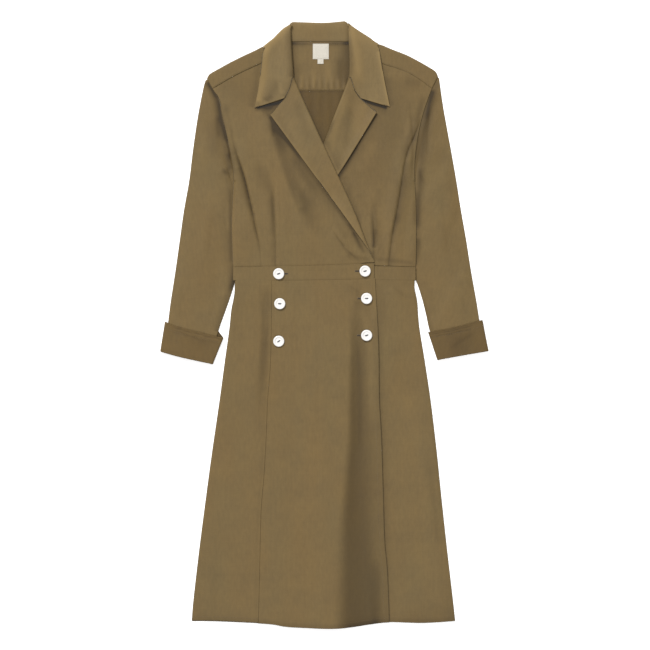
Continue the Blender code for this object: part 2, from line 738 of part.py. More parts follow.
def make_labels():
    for name, box in (("neck_label", LABEL), ("size_tab", SIZE_TAB)):
        side_a = [Point(box.x_low, box.y_high), Point(box.x_low, box.y_low)]
        side_b = [Point(box.x_high, box.y_high), Point(box.x_high, box.y_low)]
        skin = Skin()
        skin.add_layer(straight_rows(side_a, side_b, 2), lambda x, y: back_height(x, y) + LAYER,
                       LABEL_WALL)
        skin.make(name, "label", LABEL_WALL)


def button_base(place):
    """The highest cloth under a button."""
    on_band = place.y > WAIST_LOW
    height, wall = (right_band_height, BAND_WALL) if on_band else (right_skirt_height, WALL)
    ring = [(place.x + BUTTON_RADIUS * math.cos(a), place.y + BUTTON_RADIUS * math.sin(a))
            for a in (math.tau * i / BUTTON_SIDES for i in range(BUTTON_SIDES))]
    return max(height(x, y) for x, y in ring + [(place.x, place.y)]) + wall + SEAM


def make_button(name, place):
    """A round button with a raised rim, a dished face and two thread holes through it."""
    profile = [
        (BUTTON_RADIUS - 0.8, 0), (BUTTON_RADIUS, 0.9), (BUTTON_RADIUS, BUTTON_THICKNESS - 0.8),
        (BUTTON_RADIUS - 0.7, BUTTON_THICKNESS), (BUTTON_RADIUS - BUTTON_RIM, BUTTON_THICKNESS),
        (BUTTON_RADIUS - BUTTON_RIM - 1.2, BUTTON_THICKNESS - BUTTON_DISH),
    ]
    base = button_base(place)
    mesh = bmesh.new()
    loops = []
    for radius, height in profile:
        loops.append([
            mesh.verts.new(Vector((radius * math.cos(a), radius * math.sin(a), height)) * MM)
            for a in (math.tau * i / BUTTON_SIDES for i in range(BUTTON_SIDES))
        ])
    for lower, upper in zip(loops, loops[1:]):
        for i in range(BUTTON_SIDES):
            j = (i + 1) % BUTTON_SIDES
            mesh.faces.new((lower[i], lower[j], upper[j], upper[i]))
    mesh.faces.new(loops[0][::-1])
    mesh.faces.new(loops[-1])
    made = add_object(name, mesh, "pearl")
    made.location = Vector((place.x, place.y, base)) * MM
    for side in (-1, 1):
        cutter = make_hole_cutter(f"{name}_hole", place, side)
        cut = made.modifiers.new(cutter.name, "BOOLEAN")
        cut.object = cutter
        cut.operation = "DIFFERENCE"


def make_hole_cutter(name, place, side):
    """A small peg through the whole button."""
    mesh = bmesh.new()
    bmesh.ops.create_cone(mesh, cap_ends=True, segments=8, radius1=BUTTON_HOLE * MM,
                          radius2=BUTTON_HOLE * MM, depth=20 * MM)
    data = bpy.data.meshes.new(name)
    mesh.to_mesh(data)
    mesh.free()
    cutter = bpy.data.objects.new(name, data)
    cutter.location = Vector((place.x + side * HOLE_SPACING / 2, place.y, 5)) * MM
    cutter.hide_render = True
    cutter.display_type = "WIRE"
    bpy.context.scene.collection.objects.link(cutter)
    return cutter


# ---- the whole dress --------------------------------------------------------------------------

def main():
    clear_scene()
    right_side = bodice_side(RIGHT_ARMHOLE, RIGHT_BODICE_SIDE)
    left_side = bodice_side(LEFT_ARMHOLE, LEFT_BODICE_SIDE)
    make_yoke()
    make_back_bodice(right_side, left_side)
    make_front("right_front_bodice", right_side[:], RIGHT_NECK_EDGE, RIGHT_ROLL,
               shoulder_seam(RIGHT_SHOULDER_FOLD, RIGHT_SHOULDER_SEAM), right_front_height)
    make_front("left_front_bodice", left_side[:], LEFT_NECK_EDGE, LEFT_ROLL,
               shoulder_seam(LEFT_SHOULDER_FOLD, LEFT_SHOULDER_SEAM), left_front_height)
    make_lapel("right_lapel", RIGHT_GORGE, RIGHT_LAPEL_EDGE, RIGHT_ROLL, right_lapel_height)
    make_lapel("left_lapel", LEFT_GORGE, LEFT_LAPEL_EDGE, LEFT_ROLL, left_lapel_height)
    make_collar()
    make_bands()
    make_skirt()
    make_sleeve("right_sleeve", RIGHT_ARMHOLE, RIGHT_SLEEVE_OUTER, RIGHT_SLEEVE_INNER,
                right_front_height)
    make_sleeve("left_sleeve", LEFT_ARMHOLE, LEFT_SLEEVE_OUTER, LEFT_SLEEVE_INNER,
                left_front_height)
    make_cuff("right_cuff", RIGHT_CUFF_TOP, RIGHT_CUFF_LOW, RIGHT_CUFF_OUTER, RIGHT_CUFF_INNER)
    make_cuff("left_cuff", LEFT_CUFF_TOP, LEFT_CUFF_LOW, LEFT_CUFF_OUTER, LEFT_CUFF_INNER)
    make_labels()
    for number, place in enumerate(BUTTONS, start=1):
        make_button(f"button_{number}", place)


main()
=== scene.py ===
"""A wrap dress laid flat, face up: its cloth, stitching, buttons and labels on the fixed frame.

Plan places and sizes in the tables are millimetres in the frame: x towards the wearer's left, y
towards the collar, z up from the surface. Right and left are the wearer's. Heights are those of the
underside of the cloth.
"""

import math
from collections import namedtuple

import bmesh
import bpy
import numpy as np
from mathutils import Matrix, Vector


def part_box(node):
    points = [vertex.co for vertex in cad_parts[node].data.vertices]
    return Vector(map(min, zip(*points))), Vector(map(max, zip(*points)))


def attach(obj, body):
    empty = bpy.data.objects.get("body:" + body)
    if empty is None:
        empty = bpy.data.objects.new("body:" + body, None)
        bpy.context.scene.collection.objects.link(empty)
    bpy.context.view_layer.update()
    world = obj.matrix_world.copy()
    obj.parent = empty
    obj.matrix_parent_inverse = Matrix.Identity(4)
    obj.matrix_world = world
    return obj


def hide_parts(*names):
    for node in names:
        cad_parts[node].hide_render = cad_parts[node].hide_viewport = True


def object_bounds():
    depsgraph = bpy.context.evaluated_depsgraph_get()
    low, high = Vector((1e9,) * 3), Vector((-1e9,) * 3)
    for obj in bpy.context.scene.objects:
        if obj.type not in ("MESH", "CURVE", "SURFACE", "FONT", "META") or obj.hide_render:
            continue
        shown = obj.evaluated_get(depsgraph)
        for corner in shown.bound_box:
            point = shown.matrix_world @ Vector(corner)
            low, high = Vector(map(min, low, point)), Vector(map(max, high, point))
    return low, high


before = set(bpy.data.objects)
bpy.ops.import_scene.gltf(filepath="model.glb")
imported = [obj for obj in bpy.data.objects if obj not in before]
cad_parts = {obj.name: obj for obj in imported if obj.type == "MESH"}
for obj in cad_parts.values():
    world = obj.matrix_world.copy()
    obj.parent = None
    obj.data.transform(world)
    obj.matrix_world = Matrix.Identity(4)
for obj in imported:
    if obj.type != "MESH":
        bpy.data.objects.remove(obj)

bl_info = {
    "name": "Wrap dress",
    "version": (1, 0, 0),
    "blender": (4, 5, 0),
    "location": "3D View > Sidebar > Dress",
    "description": "Makes the cloth, stitching, buttons and labels of a wrap dress laid flat",
    "category": "Object",
}

MM = 0.001
CAD_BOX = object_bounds()
BODY = "root"
TURN = 2 * math.pi


def outline(text):
    """The places of a line, each an x and a y."""
    return [tuple(float(n) for n in place.split(",")) for place in text.split()]


# ---- outlines, each from top to bottom unless it runs across ----------------------------------

RIGHT_ARMHOLE = outline("-222,466 -213,449 -201,430 -195,403 -183,351 -175,312 -172,281")
LEFT_ARMHOLE = outline("215,470 204,449 195,425 187,400 178,362 172,320 171,281")
RIGHT_SIDE = outline("-174,237 -176,190 -174.5,140 -173,110.3")
LEFT_SIDE = outline("173,237 174,190 174,140 173,110.3")
RIGHT_SKIRT_SIDE = outline("-170,84 -171.3,57 -177,28 -181,-10 -189,-67 -199.2,-143 -213,-238 "
                           "-225.8,-333 -238,-428 -249,-523 -252,-561")
LEFT_SKIRT_SIDE = outline("171,84 170.8,68 173.6,56 176.3,40 180,-5 190,-67 201.4,-143 "
                          "212.8,-238 222.6,-333 233,-428 244,-523 248,-560")
HEM = outline("-252,-561.8 -205,-562.2 -137,-565.2 -100,-567.6 -72,-572.2 -28,-573.8 20,-574.5 "
              "56,-571.8 86,-567.7 123,-563.5 187,-565.2 248,-561.4")
PRINCESS_SEAM = outline("-101,84 -101,0 -103,-80 -108,-143 -111,-218 -115,-287 -120,-346 "
                        "-122,-409 -124,-502 -126,-566")
WRAP_EDGE = outline("96,88 98,52 101,0 103,-63 104,-143 108,-215 111,-312 114,-408 119,-465 "
                    "123,-563")
UNDER_EDGE = outline("-88,84 -93,-140 -104,-350 -112,-568")

RIGHT_ROLL = outline("-57,470 -43,434 -26,396 -4,347 26,283 46,240 60,208 76,166 92,128 95,119")
LEFT_ROLL = outline("46,471 37,444 18,396 -1,346 -25,286 -45,240 -60,205 -73,166 -84,128 -87,119")
RIGHT_NECK_EDGE = outline("-68,521 -62,495")
LEFT_NECK_EDGE = outline("52,521 48,495")
RIGHT_SHOULDER_SEAM = outline("-213,449 -168,475 -121,497 -68,521")
LEFT_SHOULDER_SEAM = outline("204,449 172,472 144,485 111,496 52,521")
RIGHT_SHOULDER_FOLD = outline("-223.5,468 -219,476 -209,482.3 -198.8,487.8 -178.6,499 "
                              "-155.9,510.2 -131.7,521.5 -119,528 -104,533 -68,546")
LEFT_SHOULDER_FOLD = outline("216,470.5 213.5,478 210,482.5 201.2,488.2 181.4,499.6 159.8,511 "
                             "146,516.8 131,522.4 117,528.2 104,533 50,546")

RIGHT_GORGE = outline("-75,431 -66,450 -58,470")
LEFT_GORGE = outline("67.6,430.8 57,446 47,470")
RIGHT_LAPEL_EDGE = outline("-103,399 -65.8,348 -22.8,289 25,224 57,180 79,149 91,129")
LEFT_LAPEL_EDGE = outline("98.8,403.5 64,346 24.3,283 -18,224 -50,180 -72,149 -83,129")
RIGHT_WING_FOLD = outline("-115.6,530 -104.8,538.8 -96.7,545.3 -80,561.8 -63.7,572")
LEFT_WING_FOLD = outline("102.2,534.6 93.8,539.5 86.5,545.4 60.6,562 45.6,573")
RIGHT_WING_EDGE = outline("-115.6,530 -120,492 -126,446 -133,412")
LEFT_WING_EDGE = outline("102.2,534.6 107.2,503 114.6,460 124.2,414")
RIGHT_WING_ROLL = outline("-63.7,572 -63,545 -61,510 -58,470")
LEFT_WING_ROLL = outline("45.6,573 45.5,545 47,510 47,470")
COLLAR_TOP = outline("-68,568 -62,575 -50,575.3 -30,574.7 -7,574 14,574.8 30,576.4 39,576.8 "
                     "46,571 52,566")
FALL_EDGE = outline("-118,521 -60,517 -7,516 45,518 104,526")

RIGHT_SLEEVE_OUTER = outline("-225.8,466.5 -229.2,455 -235,427 -241.8,389 -250,332 -257,275 "
                             "-267,218 -275,161 -283,104 -292,45 -297,5 -303,-40")
RIGHT_SLEEVE_INNER = outline("-171.6,281 -171.4,262 -169,240 -158,222 -151,190 -152,150 -160,112 "
                             "-170,83 -180.5,50 -191.4,19 -202.2,-12 -216,-62")
LEFT_SLEEVE_OUTER = outline("217.6,468 219.6,452 225,415 233,370 240,332 250,275 259,218 269,161 "
                            "278,104 288,47 294,8 301,-40")
LEFT_SLEEVE_INNER = outline("170.6,281 171.4,262 169,242 160,220 151,190 152,150 162,112 175,82 "
                            "185.6,50 193.4,19 200.5,-12 217,-56")
RIGHT_CUFF = [[(-303, 6), (-281, -3), (-232, -16), (-192, -25)],
              [(-312, -50), (-272, -61), (-212, -74)],
              [(-303, 6), (-307.5, -22), (-312, -50)],
              [(-192, -25), (-202, -49), (-212, -74)]]
LEFT_CUFF = [[(300, 9), (262, -1), (232, -8), (194.6, -14)],
             [(311.5, -49), (263, -57), (212.2, -66)],
             [(300, 9), (305.5, -20), (311.5, -49)],
             [(194.6, -14), (203.4, -40), (212.2, -66)]]

NECK_SEAM = 538
YOKE_LOW = 445.3
YOKE_ROWS = 26
WAIST = 84
NECK_MIDDLE = -7
BAND_TOP, BAND_LOW = 109.7, 84.3
LAYER = 1.3
HOLE_LENGTH, HOLE_ROUND = 22, 1.4
CUFF_DEPTH = 52
# Rows of places beside the folded sides of the sleeves and cuffs.
CLOSE_ROWS = (0.3, 0.9, 1.8, 3.0)

# ---- creases and hollows ----------------------------------------------------------------------

# A crease is a line that runs down, pressed into cloth that swells beside it. left and right are
# how wide the dip is and how high the cloth swells on each side, broad is how far it swells, and
# start and end are the parts of its length over which it grows and dies. dark is painted shade that
# deepens its colour beside the line.
Crease = namedtuple("Crease", "line left right broad dark start end")
# Painted light beside a line, as far as left and right: painted shade on cloth that something
# stands over, and a painted highlight on cloth that catches the light, where dark is less than 0.
Hollow = namedtuple("Hollow", "line left right dark start end")


def table(kind, text):
    """Rows of creases or of painted light: the columns after line, in their order, and then the
    line.
    """
    own = len(kind._fields) - 1
    rows = [[outline(cell)[0] for cell in row.split()] for row in text.strip().splitlines()]
    return [kind(row[own:], *(c if len(c) > 1 else c[0] for c in row[:own])) for row in rows]


RIGHT_FRONT_CREASES = table(Crease, """
9,5    0.9,2.2 46 1    0.16 0.42 -176,352 -166,322 -154,289 -146,256 -137,218 -130,180 -123,146 \
        -120,106
3,0.8  0.9,0.8 14 0.5  0.4  0    -140,228 -130,180 -123,146 -120,106
6,3    0.9,1.6 34 0.62 0.7  0    -96,352 -94.5,300 -94.5,262 -93.5,180 -92.5,106
5,1.6  1,1.6   18 0.6  0.35 0.2  10,188 31,157 53,133 74,120
4,0.8  1.5,0.8 12 0.3  0.3  0.3  26,168 42,138 56,116
16,1.2 16,1    40 0.1  0.5  0.5  -58,240 -40,200 -22,160
20,2.4 22,2    60 0    0.3  0.5  -108,402 -84,345 -54,285 -30,215 -16,165
""")
LEFT_FRONT_CREASES = table(Crease, """
1,1.8 8,3     28 0.8  0.15 0   186,400 172,362 158,330 150,296 144,256 138,220 130,179 122,123 \
        121,106
8,2.4 1.2,2.6 22 0.75 0.4  0   90,226 93,180 94,137 95,112
3,1   3,1.2   12 0.25 0.5  0   118,166 108,148 99,130 97,118
5,1.6 6,1     20 0.45 0.3  0.3 160,430 166,380 168,330 166,270
5,1.2 5,1     22 0.2  0.4  0.5 146,320 152,290 158,250
""")
RIGHT_SKIRT_CREASES = table(Crease, """
10,2   8,1.6  44 0.3  0.25 0.5 -111,78 -115,20 -118,-60 -121,-170 -125,-260
4,0.7  4,0.7  14 0.3  0.4  0.3 40,80 56,68 68,60
3,0.5  3,0.5  10 0.2  0.4  0.3 48,46 58,44 70,41
10,1.2 10,1   30 0.1  0.3  0.6 -160,70 -164,20 -172,-60
40,1.6 40,1.6 90 0.05 0.5  0.3 -60,-120 -64,-300 -76,-480
16,1.6 16,1.6 44 0.1  0.5  0   -196,-330 -206,-470 -214,-590
""")
LEFT_SKIRT_CREASES = table(Crease, """
5,0.8  5,0.8  18 0.3  0.4 0.4 128,76 142,62 158,48
6,0.8  6,0.8  18 0.25 0.3 0.6 112,70 114,30 118,-30
26,1.8 26,1.8 60 0.06 0.4 0.4 170,-200 182,-360 196,-480
12,1.4 12,1.2 32 0.12 0.5 0   226,-430 234,-520 240,-600
""")
BACK_CREASES = table(Crease, """
4,0.8 4,0.8 22 0.3 0.4  0   -84,262 -82,200 -80,106
4,0.8 4,0.8 22 0.3 0.4  0   84,262 82,200 80,106
5,0.8 5,0.8 24 0.3 0.1  0.6 -70,82 -72,0 -76,-120
5,0.8 5,0.8 24 0.3 0.1  0.6 72,82 74,0 78,-120
3,0.7 3,0.7 30 0.2 0.05 0   -10,82 -12,-200 -14,-600
""")
SLEEVE_CREASES = {
    "right": table(Crease, """
7,1.4  5,1.2  20 0.45 0.4 0.1 -196,300 -188,290 -178,284
10,1.2 12,1.2 30 0.1  0.3 0.5 -224,440 -220,340 -222,250
12,1.4 12,1.2 32 0.12 0.4 0.4 -206,240 -214,180 -226,100
5,1    5,0.8  16 0.15 0.5 0.2 -268,90 -272,40 -278,10
8,1    8,1    22 0.12 0.5 0.2 -206,60 -214,20 -222,-8
"""),
    "left": table(Crease, """
6,1.6  9,1.4  26 0.35 0.3 0.4 202,420 196,360 196,300
6,1.2  6,1.2  20 0.3  0.2 0.5 178,300 186,276 200,262
14,1.4 14,1.2 34 0.1  0.4 0.4 222,250 232,180 238,110
6,1    6,0.8  18 0.15 0.5 0.2 262,60 266,30 268,4
"""),
}
CUFF_CREASES = {
    "right": table(Crease, """
7,0.9 8,0.9 20 0.3 0.3 0.3 -292,-8 -250,-24 -214,-44
"""),
    "left": table(Crease, """
9,0.9 8,0.9 22 0.4 0.3 0.3 288,-14 256,-34 236,-52
"""),
}

# Ridges of each cuff, each pressed a little in and darkened with painted shade: how far down, how
# wide, how dark, how much it wanders, and where across it starts and ends.
CUFF_RIDGES = {
    "right": [(1.5, 1.4, 0.3, 0.5, 0.1, 0.9), (5.5, 1.4, 0.6, 1.0, 0.14, 1.1),
              (13.5, 2.6, 0.2, 0.6, 0.1, 1.0), (46, 2.0, 0.12, 0.3, 0.0, 1.1)],
    "left": [(2.0, 1.2, 0.45, 0.4, -0.1, 0.92), (6.6, 1.3, 0.5, 0.3, -0.1, 0.85),
             (11.5, 1.6, 0.4, 0.3, -0.1, 0.8), (46, 2.0, 0.1, 0.3, 0.0, 1.1)],
}

# Painted light on the fronts, skirts and sleeves: painted shade beside each line, and a painted
# highlight where dark is below 0.
RIGHT_FRONT_PAINTED_LIGHT = table(Hollow, """
4.5 3  0.85  0.02 0.25 -105,398 -68,348 -25,289 24,223 55,179 78,148 91,128
5   3  0.5   0    0.3  -105,398 -86,372 -58,334 -38,307
13  3  0.36  0.1  0.3  -108,392 -70,343 -28,284 22,219 53,175
9   16 0.78  0.12 0.3  -102,396 -90,355 -81,320 -72,290 -60,258 -44,228 -28,200 -8,165
10  10 0.42  0.2  0.3  -62,326 -46,296 -28,268 -10,235
10  12 0.3   0.3  0.4  -48,262 -34,240 -14,215
3   4  0.3   0.2  0.2  -100,392 -99,375 -98,355
14  12 0.2   0.2  0.5  -120,420 -96,385 -80,345
6   4  1.95  0.15 0    -134,412 -118.7,415.5 -107,418 -94,420.5 -84,424 -77,429
14  5  1.2   0.62 0    -134,407 -118,411 -98,417 -77,427
6   5  0.5   0.1  0.2  -134,408 -118,412 -98,418
9   2  0.4   0.1  0.05 -124,500 -129,450 -136,412
9   5  0.3   0.3  0.3  -112,310 -103,255 -99,195
4   2  0.5   0.3  0.4  -100,264 -98.5,220 -97,165
10  10 0.3   0.3  0.4  -130,318 -120,280 -106,245
6   3  0.4   0.2  0.2  44,196 60,166 72,142
4   3  0.6   0.2  0.2  52,178 64,158 77,134
8   8  0.3   0.4  0.4  22,194 34,176 52,160
4   4  0.35  0.3  0.1  38,146 60,130 88,124
2   3  0.25  0.1  0.1  -200,428 -194,403 -182,351 -174,312 -172,281
6   6  0.3   0.3  0.3  -192,425 -178,390 -166,362
3   4  0.4   0.3  0.3  -180,382 -173,348 -163,320
5   2  0.5   0.25 0.2  -170,330 -150,270 -141,228 -134,200
8   12 0.14  0.3  0.4  -86,370 -84,320 -74,250
36  40 0.2   0.1  0.4  -184,474 -152,440 -128,400
11  22 -0.46 0.2  0.05 -90,345 -88,275 -79,205 -60,160 -48,125
5   5  -0.3  0.2  0.2  -57,258 -50,240 -43,220
24  18 -0.46 0.4  0.02 -160,250 -148,185 -138,145 -134,116
30  30 -0.2  0.3  0    -24,150 -22,135 -20,116
6   6  -0.3  0.2  0.2  -118,405 -126,402 -134,404
4   4  -0.3  0.2  0.2  -182,410 -172,375 -168,345
5   5  -0.35 0.2  0.2  -172,325 -168,310 -164,296
14  10 -0.25 0.2  0.1  12,185 30,160 46,132
10  5  -0.14 0.3  0.3  -110,368 -103,335 -99,300
3   3  -0.12 0.1  0.1  -170,114 -40,117 70,120
""")
LEFT_FRONT_PAINTED_LIGHT = table(Hollow, """
3  5   1.15  0.02 0    98.5,403 64,345 24.5,281
3  6   0.4   0.2  0    62,342 44,310 26,278
9  12  -0.25 0.2  0.2  94,352 80,322 60,290
6  8   0.3   0.1  0.4  34,282 42,262 52,240
3  11  0.14  0.05 0.1  98,402 66,341 30,277
4  4.5 1.85  0.12 0    122,411 110,415 93,420 68,429
3  10  0.4   0.12 0    122,411 110,415 93,420 72,430
2  8   0.3   0.1  0.05 110,500 118,450 126,414
3  7   0.4   0.2  0.3  38,260 49,240 63,206 74,175
3  4   0.5   0.3  0.3  50,216 58,203 66,186
6  7   0.5   0.4  0.1  92,250 95,200 95,145
4  6   0.4   0.3  0.3  142,216 132,186 121,164
10 4   0.2   0.4  0    172,160 172,125 173,108
5  3   0.4   0.3  0.3  172,240 171,215 173,185
4  4   0.36  0.1  0.1  170,117 130,122 98,124
48 64  0.34  0.1  0.3  116,480 100,345 74,235
6  6   0.5   0.15 0.3  190,440 177,392 163,358 152,322 146,290
5  5   -0.3  0.2  0.2  172,352 164,330 156,305
9  12  0.3   0.25 0.25 148,290 140,240 132,185
10 9   -0.42 0.2  0.1  76,208 82,172 90,138
3  4   0.5   0.2  0.1  97,185 95,165 93,145
9  10  0.22  0.2  0.3  62,250 74,232 84,212
6  6   0.2   0.2  0.2  104,262 104,240 101,222
16 10  0.25  0.2  0.3  184,455 168,460 150,462
20 20  0.1   0.2  0.3  142,350 128,380 122,430
4  4   -0.3  0.2  0.2  172,390 166,365 160,335
4  4   -0.22 0.2  0.2  154,325 149,305 143,270
10 10  -0.26 0.1  0.1  130,156 138,142 152,150
5  5   -0.25 0.2  0.2  166,166 165,148 163,134
4  4   -0.2  0.2  0.2  162,410 160,385 156,355
""")
LEFT_SKIRT_PAINTED_LIGHT = table(Hollow, """
6  8  0.3  0.02 0.3 98,84 100,52 103,0 105,-63 106,-143 110,-215 113,-312 116,-408 121,-465 \
        125,-590
20 20 0.2  0.3  0   140,-562 190,-556 250,-545
26 18 -0.1 0.1  0.1 158,-120 178,-300 196,-500
6  8  0.2  0.3  0.3 194,-230 208,-350 220,-440
5  3  -0.2 0.2  0.2 104,-250 104,-290 104,-330
8  8  0.14 0.1  0   96,84 130,82 172,80
""") + [Hollow(HEM, 9, 9, 0.38, 0, 0)]
RIGHT_SKIRT_PAINTED_LIGHT = table(Hollow, """
3  3  0.12  0.1 0   -107,78 -108,0 -110,-80 -113,-143 -117,-218 -121,-287 -126,-346 -128,-409 \
        -130,-502 -132,-590
12 10 0.28  0.1 0.5 -108,78 -113,10 -118,-80 -122,-180
4  4  0.25  0.2 0.4 -110,0 -113,-60 -118,-140
6  5  -0.25 0.3 0.3 -121,40 -124,-30 -130,-100
5  5  0.25  0.2 0.3 62,-20 67,-120 66,-260
8  8  -0.3  0.1 0.3 66,40 84,-20 88,-110 92,-210
5  5  -0.25 0.2 0.2 94,50 94,30 92,8
4  5  0.25  0.2 0.3 50,40 51,0 50,-50
12 6  0.3   0.3 0   100,-440 103,-520 106,-580
""") + [Hollow(HEM, 9, 9, 0.38, 0, 0)]
SLEEVE_PAINTED_LIGHT = {
    "right": table(Hollow, """
14 9  0.36  0.1  0.1  -214,449 -203,430 -197,403 -185,351 -177,312 -174,281 -176,237 -178,190 \
        -177,140 -175,110 -172,84
8  4  1     0.02 0.2  -223,464 -204,431 -196,392 -183,335 -177,290
3  3  0.6   0.3  0.3  -192,384 -187,365 -182,346
5  3  0.6   0.1  0.3  -221,462 -212,447 -203,430
5  5  0.45  0.3  0.3  -205,402 -203,378 -200,350
4  3  -0.45 0.2  0.2  -192,352 -187,340 -184,324
4  4  -0.3  0.2  0.2  -184,235 -184,205 -183,175
10 10 0.3   0.3  0.3  -213,400 -211,350 -207,305
4  2  0.5   0.2  0.1  -178,265 -178.5,200 -177,115
5  5  0.4   0.3  0.1  -196,296 -187,290 -177,303
8  8  0.85  0.3  0.3  -169,120 -172,92 -178,58
8  4  0.6   0.15 0.02 -165,100 -178,62 -192,22 -204,-14
"""),
    "left": table(Hollow, """
4 9 0.7  0.05 0.2  206,449 197,425 189,400 180,362 174,320 172,292
3 6 0.5  0.2  0.4  174,262 176,215 176,170 176,120
7 7 0.7  0.25 0.15 181,312 182,280 181,250 178,215 174,178
6 6 0.6  0.2  0.1  178,168 177,140 171,112
5 9 0.6  0.08 0.3  213,470 201,420 190,362 184,300 181,262
5 8 0.25 0.2  0.3  206,452 197,415 190,385
3 5 0.35 0.15 0.02 166,98 180,60 194,18 203,-12
"""),
}

# The deep fold of the skirt beside the wrap edge, at heights down the skirt: where it crests, where
# its floor lies, how high the crest stands, and how dark the painted shade on its floor is.
FOLD_Y = [-600, -447, -371, -219, -67, 25, 90]
FOLD_CREST = [17, 24, 29, 45, 48, 56, 58]
FOLD_FLOOR = [92, 79, 71, 67, 65, 68, 68]
FOLD_RISE = [11, 9, 8, 5.6, 3.6, 0.8, 0]
FOLD_DARK = [0.92, 0.88, 0.86, 0.76, 0.66, 0.38, 0]

BUTTONS = ["button_1", "button_2", "button_3", "button_4", "button_5", "button_6"]
BUTTON_TILT = [(2, -2), (-2, 1), (5, 3), (1, 2), (-1, -2), (2, 1)]
BUTTON_SHADE = [0.0, 0.3, 0.25, 0.1, 0.1, 0.1]
# The end of each buttonhole that shows, beside its button: which way and how far from its middle.
BUTTONHOLES = {"button_1": 16.5, "button_4": -18, "button_5": -16, "button_6": -17}


# Marks of painted shade darker than this are painted deep shadow, each reaching its own depth
# instead of adding up; the rest add up to at most DEEPEST_SUM.
DEEP_SHADOW = 1.4
DEEPEST_SUM = 1.35


# ---- lines, patches and steps -----------------------------------------------------------------

def ramp(value, low, high):
    """0 below low, 1 above high, and an even S between."""
    t = np.clip((value - low) / (high - low), 0, 1)
    return t * t * (3 - 2 * t)


def fall(value, low, high):
    """1 below low, 0 above high, and an even S between."""
    return 1 - ramp(value, low, high)


def bell(value, width):
    """1 in the middle, falling to a third at the width on both sides."""
    return np.exp(-(value / width) ** 2)


def line_at(points, fractions):
    """Places on a smooth line through the points, at fractions of the way by their distances."""
    p = np.asarray(points, float)
    steps = np.hypot(*np.diff(p[:, :2], axis=0).T)
    marks = np.concatenate([[0], np.cumsum(steps)]) / steps.sum()
    f = np.clip(np.atleast_1d(fractions), 0, 1)
    i = np.clip(np.searchsorted(marks, f, side="right") - 1, 0, len(steps) - 1)
    t = ((f - marks[i]) / (marks[i + 1] - marks[i]))[:, None]
    a, b = p[i], p[i + 1]
    lean_a = (b - p[np.maximum(i - 1, 0)]) / 2
    lean_b = (p[np.minimum(i + 2, len(p) - 1)] - a) / 2
    lean_a = np.where((i == 0)[:, None], (b - a) / 2, lean_a)
    lean_b = np.where((i == len(steps) - 1)[:, None], (b - a) / 2, lean_b)
    return (a * (2 * t**3 - 3 * t**2 + 1) + lean_a * (t**3 - 2 * t**2 + t)
            + b * (3 * t**2 - 2 * t**3) + lean_b * (t**3 - t**2))


def length_of(points):
    fine_line = line_at(points, np.linspace(0, 1, 8 * len(points)))
    return float(np.hypot(*np.diff(fine_line[:, :2], axis=0).T).sum())


def sorted_by(points, column):
    """Many places along a line, in the order of their x or y."""
    many = line_at(points, np.linspace(0, 1, 60 * len(points)))
    return many[np.argsort(many[:, column])].T


def at_heights(points, ys):
    """Where a falling line passes each height."""
    x, y = sorted_by(points, 1)
    return np.column_stack([np.interp(ys, y, x), ys])


def at_widths(points, xs):
    """Where a line that runs across passes each x."""
    x, y = sorted_by(points, 0)
    return np.column_stack([xs, np.interp(xs, x, y)])


def steps_over(length, step, close=(0.7,)):
    """Fractions over a length in even steps of about this size, with close rows beside both
    ends."""
    near = [0.0, *close]
    count = max(int(round((length - 2 * near[-1]) / step)), 2)
    middle = np.linspace(near[-1], length - near[-1], count + 1)
    return np.concatenate([near[:-1], middle, [length - d for d in near[-2::-1]]]) / length


def patch(top, low, side_a, side_b, u, v):
    """Plan places that fill the space inside four edges, rows from top to low, from a to b."""
    uu, vv = u[None, :, None], v[:, None, None]
    ruled = ((1 - vv) * top[None] + vv * low[None]
             + (1 - uu) * side_a[:, None] + uu * side_b[:, None])
    corners = ((1 - vv) * ((1 - uu) * top[0] + uu * top[-1])
               + vv * ((1 - uu) * low[0] + uu * low[-1]))
    return ruled - corners


def near_line(line, x, y):
    """How far each place is to the right of a line that runs down, less than 0 to its left, and the
    fraction of the way along it."""
    points = line_at(line, np.linspace(0, 1, 3 * len(line)))
    best = np.full(np.shape(x), 1e9)
    side, along = np.zeros_like(best), np.zeros_like(best)
    for i in range(len(points) - 1):
        (ax, ay), (sx, sy) = points[i], points[i + 1] - points[i]
        t = np.clip(((x - ax) * sx + (y - ay) * sy) / (sx * sx + sy * sy), 0, 1)
        far = np.hypot(x - ax - t * sx, y - ay - t * sy)
        closer = far < best
        best = np.where(closer, far, best)
        side = np.where(closer, np.where(sx * (y - ay) - sy * (x - ax) < 0, -1.0, 1.0), side)
        along = np.where(closer, (i + t) / (len(points) - 1), along)
    return best * side, along


def grown(along, start, end):
    """1 in the middle of a line, falling to 0 over its first and last parts."""
    begin = ramp(along, 0, start) if start else 1.0
    finish = 1 - ramp(along, 1 - end, 1.0) if end else 1.0
    return begin * finish


def creased(creases, x, y):
    """How much the creases lift the cloth."""
    lift = np.zeros(np.shape(x))
    for c in creases:
        side, along = near_line(c.line, x, y)
        far = np.abs(side)
        width = np.where(side < 0, c.left[0], c.right[0])
        rise = np.where(side < 0, c.left[1], c.right[1])
        swell = np.cos(np.clip(far / c.broad, 0, 1) * np.pi / 2) ** 2
        lift += rise * grown(along, c.start, c.end) * np.maximum(swell - np.exp(-far / width), 0)
    return lift


